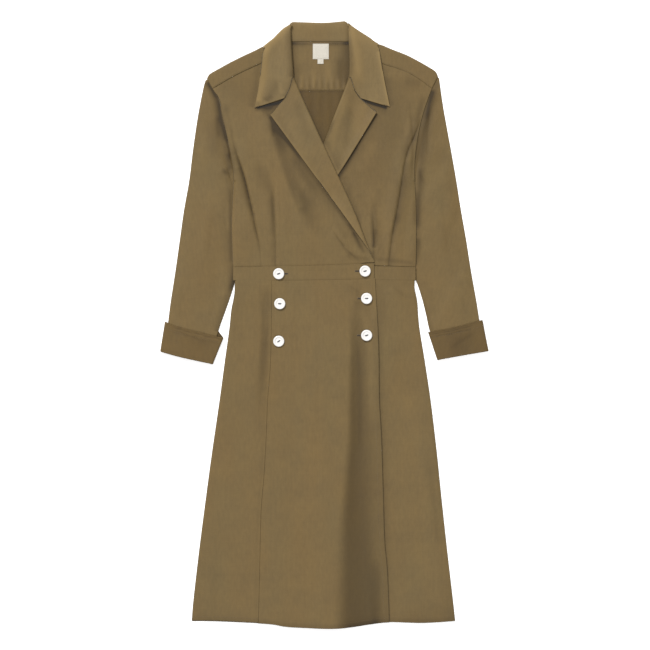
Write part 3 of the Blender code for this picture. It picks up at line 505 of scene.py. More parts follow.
def darkened(creases, painted_lights, x, y):
    """How much painted shade the creases and lines of painted light put on the colour: 1 halves it,
    and less than 0 pales it with a painted highlight. A mark darker than the deep-shadow level
    reaches its own depth and isn't added up."""
    dark = np.zeros(np.shape(x))
    for c in creases:
        side, along = near_line(c.line, x, y)
        width = np.where(side < 0, c.left[0] * 0.9, c.right[0] * 0.7)
        dark += c.dark * grown(along, c.start, c.end) * np.exp(-np.abs(side) / width)
    deep_shadow = np.full(np.shape(x), -1.0)
    for h in painted_lights:
        side, along = near_line(h.line, x, y)
        width = np.where(side < 0, h.left, h.right)
        depth = h.dark * grown(along, h.start, h.end) * bell(side, width)
        if h.dark > DEEP_SHADOW:
            deep_shadow = np.maximum(deep_shadow, depth)
        else:
            dark += depth
    return np.maximum(np.minimum(dark, DEEPEST_SUM), deep_shadow)


def waves(x, y, seed, shortest, longest, spread):
    """Slow uneven waves from 0 to 1, with crests that mostly run up and down."""
    chance = np.random.default_rng(seed)
    total, power = 0, 0
    for _ in range(14):
        length = chance.uniform(shortest, longest)
        angle = chance.normal(0, spread)
        size = length / longest
        across = x * math.cos(angle) + y * math.sin(angle)
        total = total + size * np.sin(TURN * across / length + chance.uniform(0, TURN))
        power += size * size / 2
    return 0.5 + 0.5 * np.tanh(total / math.sqrt(power) * 0.8)


# ---- how high each layer lies -----------------------------------------------------------------

def sizes():
    return bpy.context.scene.dress_sizes


def mm(value):
    return value / MM


def ground(x, y):
    """The slow rise and fall that every layer of the body shares."""
    return 0.5 * waves(x, y, 3, 110, 260, 0.5) + creased(BACK_CREASES, x, y)


def drift(x, y):
    """The softer waves of the upper layers, which die away at the waistband."""
    calm = ramp(np.abs(y - 97), 12, 60)
    return mm(sizes().wave) * waves(x, y, 5, 55, 190, 0.35) * (0.25 + 0.75 * calm)


def collar_rise(x, y):
    return LAYER * ramp(y, 452, 510) * fall(np.abs(x - NECK_MIDDLE), 114, 172)


def sleeve_rise(x, y, top=340):
    """The body lifts over the sleeves' inner edges, and comes down below the armholes."""
    return 2 * LAYER * ramp(np.abs(x), 87, 147) * ramp(y, 20, 80) * fall(y, 258, top)


def back(x, y):
    return sleeve_rise(x, y) + collar_rise(x, y) + ground(x, y)


def gathers(x):
    """How the yoke is gathered: a wave from -1 to 1 across it."""
    return np.sin(x / 12.5 * TURN + 1.3 * np.sin(x / 31))


def pleats(x):
    """The soft pleats of the back bodice: a wave from -1 to 1 across it."""
    return np.sin(x / 21 * TURN + 0.9 * np.sin(x / 17))


def yoke_back(x, y):
    """The yoke is gathered a little into the back bodice."""
    ripples = 1.2 * (0.5 + 0.5 * gathers(x)) * fall(y, 449, 484) * fall(np.abs(x + 2), 44, 62)
    return back(x, y) + ripples * ramp(y, 445, 448)


def back_bodice(x, y):
    lift = 0.8 * (0.5 + 0.5 * pleats(x))
    return back(x, y) + lift * ramp(y, 330, 420) * fall(np.abs(x + 2), 50, 70)


def band_edge(node, x, low):
    """The upper or lower edge of one front part of the waistband, which rises to its far end."""
    right = node == "right_waistband"
    share = np.clip((x + 173.5) / 268 if right else (173 - x) / 261, 0, 1)
    bow = 1.2 * (1 - (2 * share - 1) ** 2) if right else 0
    return (BAND_LOW + 3.5 * share if low else BAND_TOP + 7 * share) - bow


def left_front(x, y):
    free = ramp(y, 100, 180)
    folds = creased(LEFT_FRONT_CREASES, x, y) * ramp(x, 20, 60) * (0.35 + 0.65 * free)
    return (LAYER + 0.4 * (1 - free) + sleeve_rise(x, y, 430) + collar_rise(x, y) + ground(x, y)
            + drift(x, y) + folds
            - 0.5 * fall(y - band_edge("left_waistband", x, False), -0.5, 3))


def right_front(x, y):
    over = 1 - ramp(y, 350, 450)
    free = ramp(y, 100, 180)
    return (LAYER + (2 * LAYER - 0.5 * (1 - free)) * over + collar_rise(x, y) + ground(x, y)
            + drift(x, y) + creased(RIGHT_FRONT_CREASES, x, y) * (0.35 + 0.65 * free)
            + 1.2 * over * ramp(y, 120, 180) * fall(np.abs(x - 20), 30, 110)
            - 0.7 * fall(y - band_edge("right_waistband", x, False), -0.5, 3))


def roll_puff(roll, x, y, side, from_y, to_y):
    """A lapel stands up from its roll line and settles towards its edge."""
    off, _ = near_line(roll, x, y)
    puff = mm(sizes().lapel_roll) * fall(-off * side, 0, 30)
    return puff * ramp(y, from_y, to_y)


def edge_lift(edge, x, y, rise, over):
    off, along = near_line(edge, x, y)
    return rise * fall(np.abs(off), 0, over) * fall(along, 0.8, 1)


def right_lapel(x, y):
    return (right_front(x, y) + LAYER + roll_puff(RIGHT_ROLL, x, y, 1, 125, 200)
            + edge_lift(RIGHT_LAPEL_EDGE, x, y, 1.8, 16)
            + 0.9 * waves(x, y, 43, 26, 80, 0.5) * ramp(y, 140, 220))


def left_lapel(x, y):
    over = ramp(y, 300, 380)
    return (left_front(x, y) + LAYER + roll_puff(LEFT_ROLL, x, y, -1, 300, 380)
            + 0.9 * waves(x, y, 47, 26, 80, 0.5) * over
            + edge_lift(LEFT_LAPEL_EDGE, x, y, 1.8, 16) * np.maximum(over, ramp(x, 20, 50)))


def wing(front, lapel, gorge, roll, edge, side):
    """A wing of the collar rolls over at the neck, lies level with its lapel along the gorge seam
    and settles on the front."""
    def height(x, y):
        off, _ = near_line(roll, x, y)
        puff = (mm(sizes().lapel_roll) + 0.4) * fall(-off * side, 0, 34)
        tip = edge_lift(edge, x, y, 1.6, 14)
        shoulder = 1.6 * ramp(y, 500, 560)
        own = (front(x, y) + LAYER + np.maximum(puff, shoulder) + tip * fall(y, 500, 530)
               + 1.0 * waves(x, y, 51, 26, 90, 0.5))
        seam, _ = near_line(gorge, x, y)
        return own + (lapel(x, y) - own) * fall(np.abs(seam), 0.5, 14)
    return height


def fold_lines(y):
    """Where the deep fold crests, where its floor lies, and where the wrap edge is."""
    edge = at_heights(WRAP_EDGE, np.clip(y.ravel(), -562, 87))[:, 0].reshape(np.shape(y))
    return np.interp(y, FOLD_Y, FOLD_CREST), np.interp(y, FOLD_Y, FOLD_FLOOR), edge


def skirt_fold(x, y):
    """How high the deep fold beside the wrap edge lifts the cloth."""
    crest, floor, edge = fold_lines(y)
    rise = np.interp(y, FOLD_Y, FOLD_RISE) * (mm(sizes().skirt_fold) / FOLD_RISE[0])
    left = ramp(x, crest - 150, crest - 4) ** 1.4
    right = fall(x, crest - 4, floor)
    lip = 2.0 * ramp(x, floor - 4, edge) * ramp(-y, -70, 60)
    return rise * np.where(x < crest - 4, left, right) + lip


def fold_shade(x, y):
    """How dark the painted shade in the deep fold is: from just past its crest, and paler again
    towards the edge.
    """
    crest, floor, edge = fold_lines(y)
    into = ramp(x, crest - 5, crest + 0.42 * (floor - crest))
    hem = ramp(-y, 430, 560)
    out = 1 - (0.62 - 0.05 * hem) * ramp(x, floor - 2 + 6 * hem, edge - 8 - 6 * hem)
    return np.interp(y, FOLD_Y, FOLD_DARK) * into * out


def right_skirt(x, y):
    """The overlap, which comes down to the back where nothing lies between them."""
    level = 2 * LAYER - LAYER * ramp(-x, 100, 150) + 0.7 * ramp(y, 50, 84)
    return (level + np.where(x < 0, sleeve_rise(x, y), 0) + ground(x, y) + drift(x, y)
            + skirt_fold(x, y) + creased(RIGHT_SKIRT_CREASES, x, y) * ramp(-y, -84, -70))


def left_skirt(x, y):
    shared = ramp(90 - x, 0, 60)
    return (LAYER + 0.5 * ramp(y, 50, 84) + sleeve_rise(x, y) + ground(x, y)
            + drift(x, y) * (1 - 0.4 * shared)
            + 0.4 * skirt_fold(np.minimum(x, 60), y) * shared
            + creased(LEFT_SKIRT_CREASES, x, y) * ramp(x, 88, 110))


def back_band(x, y):
    return sleeve_rise(x, y) + ground(x, y)


def left_band(x, y):
    return 1.7 + sleeve_rise(np.maximum(x, 0), y) + ground(x, y) + drift(x, y)


def right_band(x, y):
    over = 0.6 * ramp(x, -100, 0) * ramp(y, 100, 111)
    return 3.4 + 0.9 * ramp(-x, 87, 147) + over + ground(x, y) + drift(x, y)


def yoke_front(x, y):
    return LAYER + collar_rise(x, y) + ground(x, y) + drift(x, y)


# ---- cloth ------------------------------------------------------------------------------------

class Cloth:
    """The middle surface of one sheet, gathered from grids of places that share their edges."""

    def __init__(self):
        self.points, self.quads, self.dark, self.walls = [], [], [], []
        self.count = 0

    def add(self, grid, wall, dark=0.0, closed=False):
        """Fills rows of places. A closed grid joins the end of each row to its start."""
        rows, across = grid.shape[:2]
        index = np.arange(rows * across).reshape(rows, across) + self.count
        if closed:
            index = np.concatenate([index, index[:, :1]], axis=1)
        quads = np.stack([index[:-1, :-1], index[1:, :-1], index[1:, 1:], index[:-1, 1:]], axis=-1)
        self.quads.append(quads.reshape(-1, 4))
        self.points.append(grid.reshape(-1, 3))
        self.dark.append(np.broadcast_to(dark, (rows, across)).ravel())
        self.walls.append(np.broadcast_to(wall, (rows, across)).ravel())
        self.count += rows * across

    def joined(self):
        """The places with shared ones merged, and the faces between them."""
        points = np.concatenate(self.points)
        key = np.round(points / 0.02 + 0.137).astype(np.int64)
        _, first, back_to = np.unique(key, axis=0, return_index=True, return_inverse=True)
        quads = back_to.reshape(-1)[np.concatenate(self.quads)]
        keep = np.array([len(set(q)) == 4 for q in quads.tolist()])
        dark, walls = (np.concatenate(part)[first] for part in (self.dark, self.walls))
        return points[first], quads[keep], dark, walls

    def thicken(self):
        """A closed shell round the middle surface, with rounded raw edges: its places, faces and
        shades, and the middle place that each of its places comes from."""
        points, quads, dark, walls = self.joined()
        a, b, c, d = (points[quads[:, i]] for i in range(4))
        face = np.cross(c - a, d - b)
        normal = np.zeros_like(points)
        for i in range(4):
            np.add.at(normal, quads[:, i], face)
        normal = unit(normal)
        edges = np.concatenate([quads[:, [i, (i + 1) % 4]] for i in range(4)])
        total = len(points)
        keys = edges[:, 0] * total + edges[:, 1]
        lone = edges[~np.isin(edges[:, 1] * total + edges[:, 0], keys)]
        s, e = lone[:, 0], lone[:, 1]
        along = unit(points[e] - points[s])
        outward = np.zeros_like(points)
        for ends in (s, e):
            np.add.at(outward, ends, np.cross(along, normal[ends]))
        outward = unit(outward)
        half = walls[:, None] / 2
        inset = outward * half * 0.6
        on_edge = np.unique(lone)
        middle = np.full(total, -1)
        middle[on_edge] = 2 * total + np.arange(len(on_edge))
        places = np.concatenate([points + normal * half - inset, points - normal * half - inset,
                                 points[on_edge] + outward[on_edge] * 0.3])
        faces = np.concatenate([
            quads, quads[:, ::-1] + total,
            np.stack([e, s, middle[s], middle[e]], axis=1),
            np.stack([middle[e], middle[s], s + total, e + total], axis=1),
        ])
        rim = np.concatenate([np.arange(total), np.arange(total), on_edge])
        return places, faces, dark[rim], points[rim]


def unit(vectors):
    return vectors / np.maximum(np.linalg.norm(vectors, axis=1, keepdims=True), 1e-9)


def new_object(name, data):
    made = bpy.data.objects.new(name, data)
    bpy.context.scene.collection.objects.link(made)
    return made


def ridden(name, mesh):
    """An object of the dress, which rides on its body."""
    made = new_object(name, mesh)
    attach(made, BODY)
    return made


def add_mesh(name, places, faces):
    """A smooth object from places in millimetres."""
    mesh = bpy.data.meshes.new(name)
    mesh.from_pydata((np.asarray(places) * MM).tolist(), [], [[int(i) for i in f] for f in faces])
    mesh.shade_smooth()
    return ridden(name, mesh)


def add_shade(mesh, dark):
    # This point attribute carries painted shade, and painted highlights where it is below 0.
    layer = mesh.attributes.new("hollow", "FLOAT", "POINT")
    layer.data.foreach_set("value", dark.astype(np.float32))


def add_cloth(node, cloth, material, grain=0.0, held="laid", rests_on=(), goes_with=()):
    """Makes one sheet of the dress in place of its solid, with its grain turned by an angle."""
    places, faces, dark, middle = cloth.thicken()
    made = add_mesh(f"{node}_cloth", places, faces)
    mesh = made.data
    corner = np.empty(len(mesh.loops), np.int32)
    mesh.loops.foreach_get("vertex_index", corner)
    c, s = math.cos(grain), math.sin(grain)
    turned = middle[:, :2] @ np.array([[c, -s], [s, c]]) * MM
    layer = mesh.uv_layers.new(name="grain")
    layer.data.foreach_set("uv", turned[corner].astype(np.float32).ravel())
    add_shade(mesh, np.clip(dark, -1, 2))
    mesh.materials.append(material)
    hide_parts(node)


def fitted(plan, node):
    """A plan grid moved and sized to fill its solid's box in the frame."""
    low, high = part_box(node)
    own_low, own_high = plan.reshape(-1, 2).min(0), plan.reshape(-1, 2).max(0)
    low, high = np.array(low)[:2] / MM, np.array(high)[:2] / MM
    scale = (high - low) / (own_high - own_low)
    if np.abs(scale - 1).max() > 0.03:
        raise ValueError(f"{node}: its outline is {scale} of the size of its solid")
    return low + (plan - own_low) * scale


def pressed(low, high, distance):
    """Heights that come down to a lower layer's at an edge."""
    return low + (high - low) * ramp(distance, 0, 4)


def drawn_to(plan, creases):
    """A plan grid with its nearest places moved onto and close beside the sharp creases."""
    plan = plan.copy()
    for c in creases:
        sharp = min(c.left[0], c.right[0])
        if sharp > 2:
            continue
        way = 1 if c.right[0] == sharp else -1
        top, low = c.line[0][1], c.line[-1][1]
        for row in plan:
            line = at_heights(c.line, row[:, 1])[:, 0]
            off = np.where((row[:, 1] < top) & (row[:, 1] > low), row[:, 0] - line, 1e9)
            j = int(np.argmin(np.abs(off)))
            room = abs(row[min(j + 1, len(row) - 1), 0] - row[max(j - 1, 0), 0]) / 2
            if 1 < j < len(row) - 2 and abs(off[j]) < 0.6 * room:
                row[j, 0] = line[j]
                ahead = 1 if (row[j + 1, 0] - row[j, 0]) * way > 0 else -1
                row[j + ahead, 0] = line[j + ahead] + way * 0.9
    return plan


def level_grid(plan, height, wall):
    x, y = plan[..., 0], plan[..., 1]
    return np.dstack([x, y, height(x, y) + wall / 2])


def lay_panel(node, plan, height, wall, material, creases=(), painted_lights=(), extra_dark=None,
              from_edge=None, **more):
    """One flat-laid panel. from_edge is how far each place is from an edge that comes down onto
    the back."""
    x, y = plan[..., 0], plan[..., 1]
    z = height(x, y)
    if from_edge is not None:
        z = pressed(back(x, y) + wall + 0.05, z, from_edge)
    dark = darkened(creases, painted_lights, x, y)
    if extra_dark:
        dark = dark + extra_dark(x, y)
    cloth = Cloth()
    cloth.add(np.dstack([x, y, z + wall / 2]), wall, dark=dark)
    add_cloth(node, cloth, material, **more)


def square_to(line, right):
    """Level directions square to a line, to its right or left as it runs down."""
    step = np.gradient(line, axis=0)
    turn = np.column_stack([-step[:, 1], step[:, 0]]) * (1 if right else -1)
    return turn / np.linalg.norm(turn, axis=1, keepdims=True)


# ---- finishes ---------------------------------------------------------------------------------

class Term:
    """A socket in a material's tree, which adds and multiplies as a number does."""

    def __init__(self, tree, socket=None):
        self.tree, self.socket = tree, socket

    def make(self, kind, settings=None, output=0, **inputs):
        """Adds a node, sets it up, feeds its inputs by name or place, and returns one output."""
        node = self.tree.nodes.new(kind)
        for key, value in (settings or {}).items():
            setattr(node, key, value)
        for key, value in inputs.items():
            socket = node.inputs[int(key[1:]) if key[1:].isdigit() else key.replace("_", " ")]
            if isinstance(value, Term):
                self.tree.links.new(value.socket, socket)
            else:
                socket.default_value = value
        return Term(self.tree, node.outputs[output])

    def sum(self, operation, a, b=0.0):
        return self.make("ShaderNodeMath", {"operation": operation}, i0=a, i1=b)

    def x_and_y(self):
        """The first two coordinates of a place."""
        x = self.make("ShaderNodeSeparateXYZ", i0=self)
        return x, Term(self.tree, x.socket.node.outputs[1])

    def __add__(self, other):
        return self.sum("ADD", self, other)

    def __sub__(self, other):
        return self.sum("SUBTRACT", self, other)

    def __rsub__(self, other):
        return self.sum("SUBTRACT", other, self)

    def __mul__(self, other):
        return self.sum("MULTIPLY", self, other)

    __radd__, __rmul__ = __add__, __mul__

    def sine(self):
        return self.sum("SINE", self)

    def clamped(self):
        return self.make("ShaderNodeClamp", Value=self)

    def mixed(self, a, b):
        """A colour this far from a to b."""
        return self.make("ShaderNodeMix", {"data_type": "RGBA"}, output=2, i0=self, i6=a, i7=b)

    def noise(self, scale, detail=2.0, stretch=(1, 1, 1)):
        """Noise round its middle at these coordinates."""
        place = self.make("ShaderNodeMapping", i0=self, i3=stretch)
        found = self.make("ShaderNodeTexNoise", Vector=place, Scale=scale, Detail=detail)
        return found - 0.5


def start_finish(name):
    """A new material with its shader and the first term of its tree."""
    material = bpy.data.materials.new(name)
    material.use_nodes = True
    tree = material.node_tree
    return material, tree.nodes["Principled BSDF"], Term(tree)


def feed(shader, **inputs):
    """Gives a shader its inputs by name: terms that vary, and plain values."""
    for key, value in inputs.items():
        socket = shader.inputs[key.replace("_", " ")]
        if isinstance(value, Term):
            value.tree.links.new(value.socket, socket)
        else:
            socket.default_value = value


def scaled(colour, share):
    return (*(c * share for c in colour), 1)


def tinted(colour, red, green, blue):
    return (colour[0] * red, colour[1] * green, colour[2] * blue, 1)


def cloth_finish(name, colour):
    """Smooth twill: fine diagonal ribs, faint slubs both ways and slow mottling, with painted
    shade, painted highlights and painted deep shadow carried by a point attribute.
    """
    material, shader, term = start_finish(name)
    grain = term.make("ShaderNodeUVMap", {"uv_map": "grain"})
    across, along = grain.x_and_y()
    ribs = ((across + along * 0.8) * (TURN / 0.0011)).sine()
    yarns = ((across - along) * (TURN / 0.0008)).sine()
    weft = grain.noise(1.0, 2.0, (14, 420, 1))
    warp = grain.noise(1.0, 2.0, (460, 12, 1))
    mottle = grain.noise(24.0, 3.0)
    specks = grain.noise(420.0, 1.0)
    streaks = grain.noise(1.0, 2.0, (200, 70, 1))
    tone = (0.5 + weft * 0.34 + warp * 0.44 + mottle * 1.0 + specks * 0.2 + streaks * 0.9
            + ribs * 0.02).clamped()
    patches = (0.5 + grain.noise(13.0, 2.0, (1, 0.4, 1)) * 1.6).clamped()
    hue = patches.mixed(tinted(colour, 1.035, 0.99, 0.93), tinted(colour, 0.965, 1.01, 1.07))
    value = tone.mixed((0.86, 0.86, 0.86, 1), (1.14, 1.14, 1.14, 1))
    body = term.make("ShaderNodeVectorMath", {"operation": "MULTIPLY"}, i0=hue, i1=value)
    hollow = term.make("ShaderNodeAttribute", {"attribute_name": "hollow"}, output=2)
    # A point attribute paints light: below 0 a painted highlight, above 0 painted shade, and above
    # 1.15 painted deep shadow.
    painted_highlight = (hollow * -1.0).clamped().mixed(body, scaled(colour, 1.5))
    shaded = (hollow * 0.71).clamped().mixed(painted_highlight, tinted(colour, 0.30, 0.265, 0.13))
    painted_deep_shadow = ((hollow - 1.15) * 1.4).clamped().mixed(shaded, scaled(colour, 0.05))
    creping = grain.noise(34.0, 3.0) * 0.55 + grain.noise(120.0, 2.0) * 0.09
    height = creping + (ribs * 0.03 + yarns * 0.012) + (warp + weft) * 0.03
    bump = term.make("ShaderNodeBump", Strength=1.0, Distance=0.001, Height=height)
    feed(shader, Base_Color=painted_deep_shadow, Roughness=0.66 + mottle * 0.14 + warp * 0.1, Normal=bump,
         Sheen_Weight=0.12, Sheen_Roughness=0.4, Sheen_Tint=(0.95, 0.9, 0.8, 1),
         Specular_IOR_Level=0.35)
    return material


def thread_finish(name, colour, rough=0.6):
    """Twisted thread."""
    material, shader, term = start_finish(name)
    fleck = term.make("ShaderNodeTexCoord", output=3).noise(900.0, 2.0)
    body = (0.5 + fleck * 0.9).clamped().mixed(scaled(colour, 0.8), scaled(colour, 1.2))
    feed(shader, Base_Color=body, Roughness=rough + fleck * 0.2, Sheen_Weight=0.2)
    return material


def pearl_finish(name, colour):
    """Pearl shell: clouded bands of warm and cool white under a clear polish, greyed by painted
    shade from a point attribute.
    """
    material, shader, term = start_finish(name)
    place = term.make("ShaderNodeTexCoord", output=3)
    bands = place.noise(90.0, 3.0, (1, 2.2, 1))
    clouds = place.noise(260.0, 4.0)
    body = (0.5 + bands * 1.5 + clouds * 0.5).clamped().mixed(
        scaled(colour, 1.02), tinted(colour, 0.9, 0.93, 0.97))
    hollow = term.make("ShaderNodeAttribute", {"attribute_name": "hollow"}, output=2)
    bump = term.make("ShaderNodeBump", Strength=0.4, Distance=0.0002, Height=clouds + bands)
    feed(shader, Base_Color=hollow.clamped().mixed(body, tinted(colour, 0.6, 0.63, 0.7)),
         Roughness=0.34 + clouds * 0.12, Normal=bump, Coat_Weight=0.5, Coat_Roughness=0.1)
    return material


def label_finish(name, colour):
    """Closely woven white tape, with its yarns just showing."""
    material, shader, term = start_finish(name)
    place = term.make("ShaderNodeTexCoord", output=3)
    across, up = place.x_and_y()
    yarns = (up * (TURN / 0.0007)).sine() * (across * (TURN / 0.0009)).sine()
    cloud = place.noise(160.0, 2.0)
    body = (0.5 + yarns * 0.16 + cloud * 0.7).clamped().mixed(scaled(colour, 0.9),
                                                              scaled(colour, 1.06))
    bump = term.make("ShaderNodeBump", Strength=0.6, Distance=0.0001, Height=yarns)
    feed(shader, Base_Color=body, Roughness=0.6 + cloud * 0.1, Normal=bump, Sheen_Weight=0.1)
    return material


def finish_named(name):
    """A finish of the dress, made once from its colour in the panel."""
    found = bpy.data.materials.get(name)
    if found:
        return found
    makers = {"thread": thread_finish, "button_thread": thread_finish, "slit": thread_finish,
              "label_thread": thread_finish, "pearl": pearl_finish, "label": label_finish,
              "floor": floor_finish}
    colours = bpy.context.scene.dress_colours
    colour = colours.label if name == "label_thread" else getattr(colours, name)
    more = {"rough": 0.9} if name == "slit" else {}
    return makers.get(name, cloth_finish)(name, colour, **more)


# ---- stitching --------------------------------------------------------------------------------

def stitch_tree():
    """Sets small stitches end to end along the lines it is given."""
    found = bpy.data.node_groups.get("stitch_row")
    if found:
        return found
    tree = bpy.data.node_groups.new("stitch_row", "GeometryNodeTree")
    tree.is_modifier = True
    face = tree.interface
    face.new_socket("Lines", in_out="INPUT", socket_type="NodeSocketGeometry")
    for name in ("Pitch", "Length", "Width"):
        face.new_socket(name, in_out="INPUT", socket_type="NodeSocketFloat")
    face.new_socket("Thread", in_out="INPUT", socket_type="NodeSocketMaterial")
    face.new_socket("Stitches", in_out="OUTPUT", socket_type="NodeSocketGeometry")
    nodes = tree.nodes
    begin, end = nodes.new("NodeGroupInput"), nodes.new("NodeGroupOutput")
    lines = nodes.new("GeometryNodeMeshToCurve")
    even = nodes.new("GeometryNodeResampleCurve")
    even.mode = "LENGTH"
    bead = nodes.new("GeometryNodeMeshUVSphere")
    bead.inputs["Segments"].default_value = 6
    bead.inputs["Rings"].default_value = 4
    bead.inputs["Radius"].default_value = 0.5
    size = nodes.new("ShaderNodeCombineXYZ")
    shape = nodes.new("GeometryNodeTransform")
    tangent = nodes.new("GeometryNodeInputTangent")
    turn = nodes.new("FunctionNodeAlignRotationToVector")
    turn.axis = "X"
    place = nodes.new("GeometryNodeInstanceOnPoints")
    real = nodes.new("GeometryNodeRealizeInstances")
    paint = nodes.new("GeometryNodeSetMaterial")
    smooth = nodes.new("GeometryNodeSetShadeSmooth")
    for a, b in (
        (begin.outputs["Lines"], lines.inputs["Mesh"]),
        (lines.outputs["Curve"], even.inputs["Curve"]),
        (begin.outputs["Pitch"], even.inputs["Length"]),
        (begin.outputs["Length"], size.inputs["X"]),
        (begin.outputs["Width"], size.inputs["Y"]),
        (begin.outputs["Width"], size.inputs["Z"]),
        (bead.outputs["Mesh"], shape.inputs["Geometry"]),
        (size.outputs["Vector"], shape.inputs["Scale"]),
        (tangent.outputs["Tangent"], turn.inputs["Vector"]),
        (even.outputs["Curve"], place.inputs["Points"]),
        (shape.outputs["Geometry"], place.inputs["Instance"]),
        (turn.outputs["Rotation"], place.inputs["Rotation"]),
        (place.outputs["Instances"], real.inputs["Geometry"]),
        (real.outputs["Geometry"], smooth.inputs["Geometry"]),
        (smooth.outputs["Geometry"], paint.inputs["Geometry"]),
        (begin.outputs["Thread"], paint.inputs["Material"]),
        (paint.outputs["Geometry"], end.inputs["Stitches"]),
    ):
        tree.links.new(a, b)
    return tree


def sew(name, rows, thread="thread", length=None, width=None):
    """Stitches along rows of places in millimetres, as one piece."""
    places, edges = [], []
    for row in rows:
        edges += [(len(places) + i, len(places) + i + 1) for i in range(len(row) - 1)]
        places += (np.asarray(row) * MM).tolist()
    mesh = bpy.data.meshes.new(name)
    mesh.from_pydata(places, edges, [])
    guide = new_object(f"{name}_guide", mesh)
    tree = stitch_tree()
    modifier = guide.modifiers.new("stitches", "NODES")
    modifier.node_group = tree
    long = length or sizes().stitch_length
    values = {"Pitch": long * 1.3, "Length": long, "Width": width or sizes().thread_width,
              "Thread": finish_named(thread)}
    for item in tree.interface.items_tree:
        if item.in_out == "INPUT" and item.name in values:
            modifier[item.identifier] = values[item.name]
    bpy.context.view_layer.update()
    made_mesh = applied(guide)
    if not made_mesh.polygons:
        raise ValueError(f"{name}: no stitches were made")
    made_mesh.name = name
    return ridden(name, made_mesh)


def applied(*items):
    """The first object's mesh with its modifiers applied. The objects are then removed."""
    depsgraph = bpy.context.evaluated_depsgraph_get()
    made = bpy.data.meshes.new_from_object(items[0].evaluated_get(depsgraph), depsgraph=depsgraph)
    for item in items:
        data = item.data
        bpy.data.objects.remove(item, do_unlink=True)
        bpy.data.meshes.remove(data)
    return made


def row_on(line, height, wall, shift=(0, 0), part=(0, 1)):
    """A row of places along a part of a plan line, on top of the cloth."""
    plan = line_at(line, np.linspace(*part, max(int(length_of(line) / 4), 3))) + np.array(shift)
    return np.column_stack([plan, height(*plan.T) + wall])


# ---- panels -----------------------------------------------------------------------------------

def gap():
    """The distance between places on the cloth."""
    return mm(sizes().mesh_step)


def fine():
    """The closer distance of the bodice and collar."""
    return 0.68 * gap()


def between(a, b, share):
    """Rows of places from a to b, at shares of the way."""
    return a + (b - a) * share


def skirt_plan(side_a, side_b, step):
    """Rows from the waist to the curved hem between two edges."""
    ends = [at_widths(HEM, np.array([side[-1][0]]))[0] for side in (side_a, side_b)]
    v = steps_over(WAIST - (ends[0][1] + ends[1][1]) / 2, step)
    lines = [at_heights(side, between(WAIST, end[1], v))
             for side, end in zip((side_a, side_b), ends)]
    u = steps_over(abs(ends[1][0] - ends[0][0]), step)
    hem = at_widths(HEM, between(ends[0][0], ends[1][0], u))
    waist = between(lines[0][0], lines[1][0], u[:, None])
    lines[0][-1], lines[1][-1] = hem[0], hem[-1]
    return patch(waist, hem, *lines, u, v)


def front_plan(side, inner, shoulder, from_left):
    """A front bodice from its side to its neck and roll line, below the forward shoulder seam."""
    v = steps_over(length_of(inner), fine())
    side_line, inner_line = line_at(side, v), line_at(inner, v)
    u = steps_over(0.5 * (abs(side[0][0] - inner[0][0]) + abs(side[-1][0] - inner[-1][0])), fine())
    top = line_at([(x, y - 0.3) for x, y in shoulder], u)
    side_line[0], inner_line[0] = top[0], top[-1]
    low = between(side_line[-1], inner_line[-1], u[:, None])
    plan = patch(top, low, side_line, inner_line, u, v)
    return plan if from_left else plan[:, ::-1]


def hem_wall(wall):
    """The hem is turned up twice, so the cloth is thicker there."""
    def at(x, y):
        edge = at_widths(HEM, np.clip(x.ravel(), -252, 248))[:, 1].reshape(np.shape(x))
        return wall + 0.55 * fall(y - edge, 6.0, 8.5)
    return at


def linear_at(points, fractions):
    """Places at fractions along a line that keeps its corners."""
    p = np.asarray(points, float)
    marks = np.concatenate([[0], np.cumsum(np.hypot(*np.diff(p, axis=0).T))])
    reach = np.asarray(fractions) * marks[-1]
    return np.column_stack([np.interp(reach, marks, p[:, i]) for i in (0, 1)])


def snapped(u, points, corner):
    """Steps with the nearest one moved onto a corner of a line."""
    p = np.asarray(points, float)
    steps = np.hypot(*np.diff(p, axis=0).T)
    at = steps[:corner].sum() / steps.sum()
    u = u.copy()
    u[np.argmin(np.abs(u - at))] = at
    return u


def half_round(line, outward, reach, low, high, wall, from_angle, to_angle, count):
    """Rows of places round a fold: angles run from -90 degrees, at the lower of its two layers, to
    90 degrees at the upper one."""
    rows = []
    for angle in np.radians(np.linspace(from_angle, to_angle, count)):
        offset = -reach + (reach - wall / 2) * math.cos(angle)
        z = (high + low) / 2 + (high - low) / 2 * math.sin(angle)
        rows.append(np.column_stack([line + outward * offset[:, None],
                                     np.broadcast_to(z, len(line))]))
    return rows


def roll_reach(high, low, wall, width):
    """How far a roll's middle lies inside its line, which is less where the sheet is narrow."""
    return np.clip((high - low) / 2 + wall / 2, 0.4, np.maximum(0.45 * width, 0.4))


def roll_strip(cloth, column, line, outward, under, wall, width, side, painted_lights):
    """The roll from a grid's last column down to the layer under it."""
    low = under(line[:, 0], line[:, 1]) + wall / 2
    high = column[:, 2]
    reach = roll_reach(high, low, wall, width)
    rows = [column, *half_round(line, outward, reach, low, high, wall, 90, -90, 8)[1:]]
    for back_by in (1.5, 4.0):
        place = line - outward * (reach + np.minimum(back_by, 0.5 * width))[:, None]
        rows.append(np.column_stack([place, low]))
    strip = np.stack(rows[::side], axis=1)
    dark = darkened((), painted_lights, column[:, 0], column[:, 1])
    cloth.add(strip, wall, dark=np.broadcast_to(dark[:, None], strip.shape[:2]))


def inset_line(line, outward, height, under, wall, width):
    """Where a sheet's flat part meets its roll."""
    reach = np.full(len(line), 2.0)
    for _ in range(3):
        high = height(*(line - outward * reach[:, None]).T)
        reach = roll_reach(high, under(*line.T), wall, width)
    return line - outward * reach[:, None]


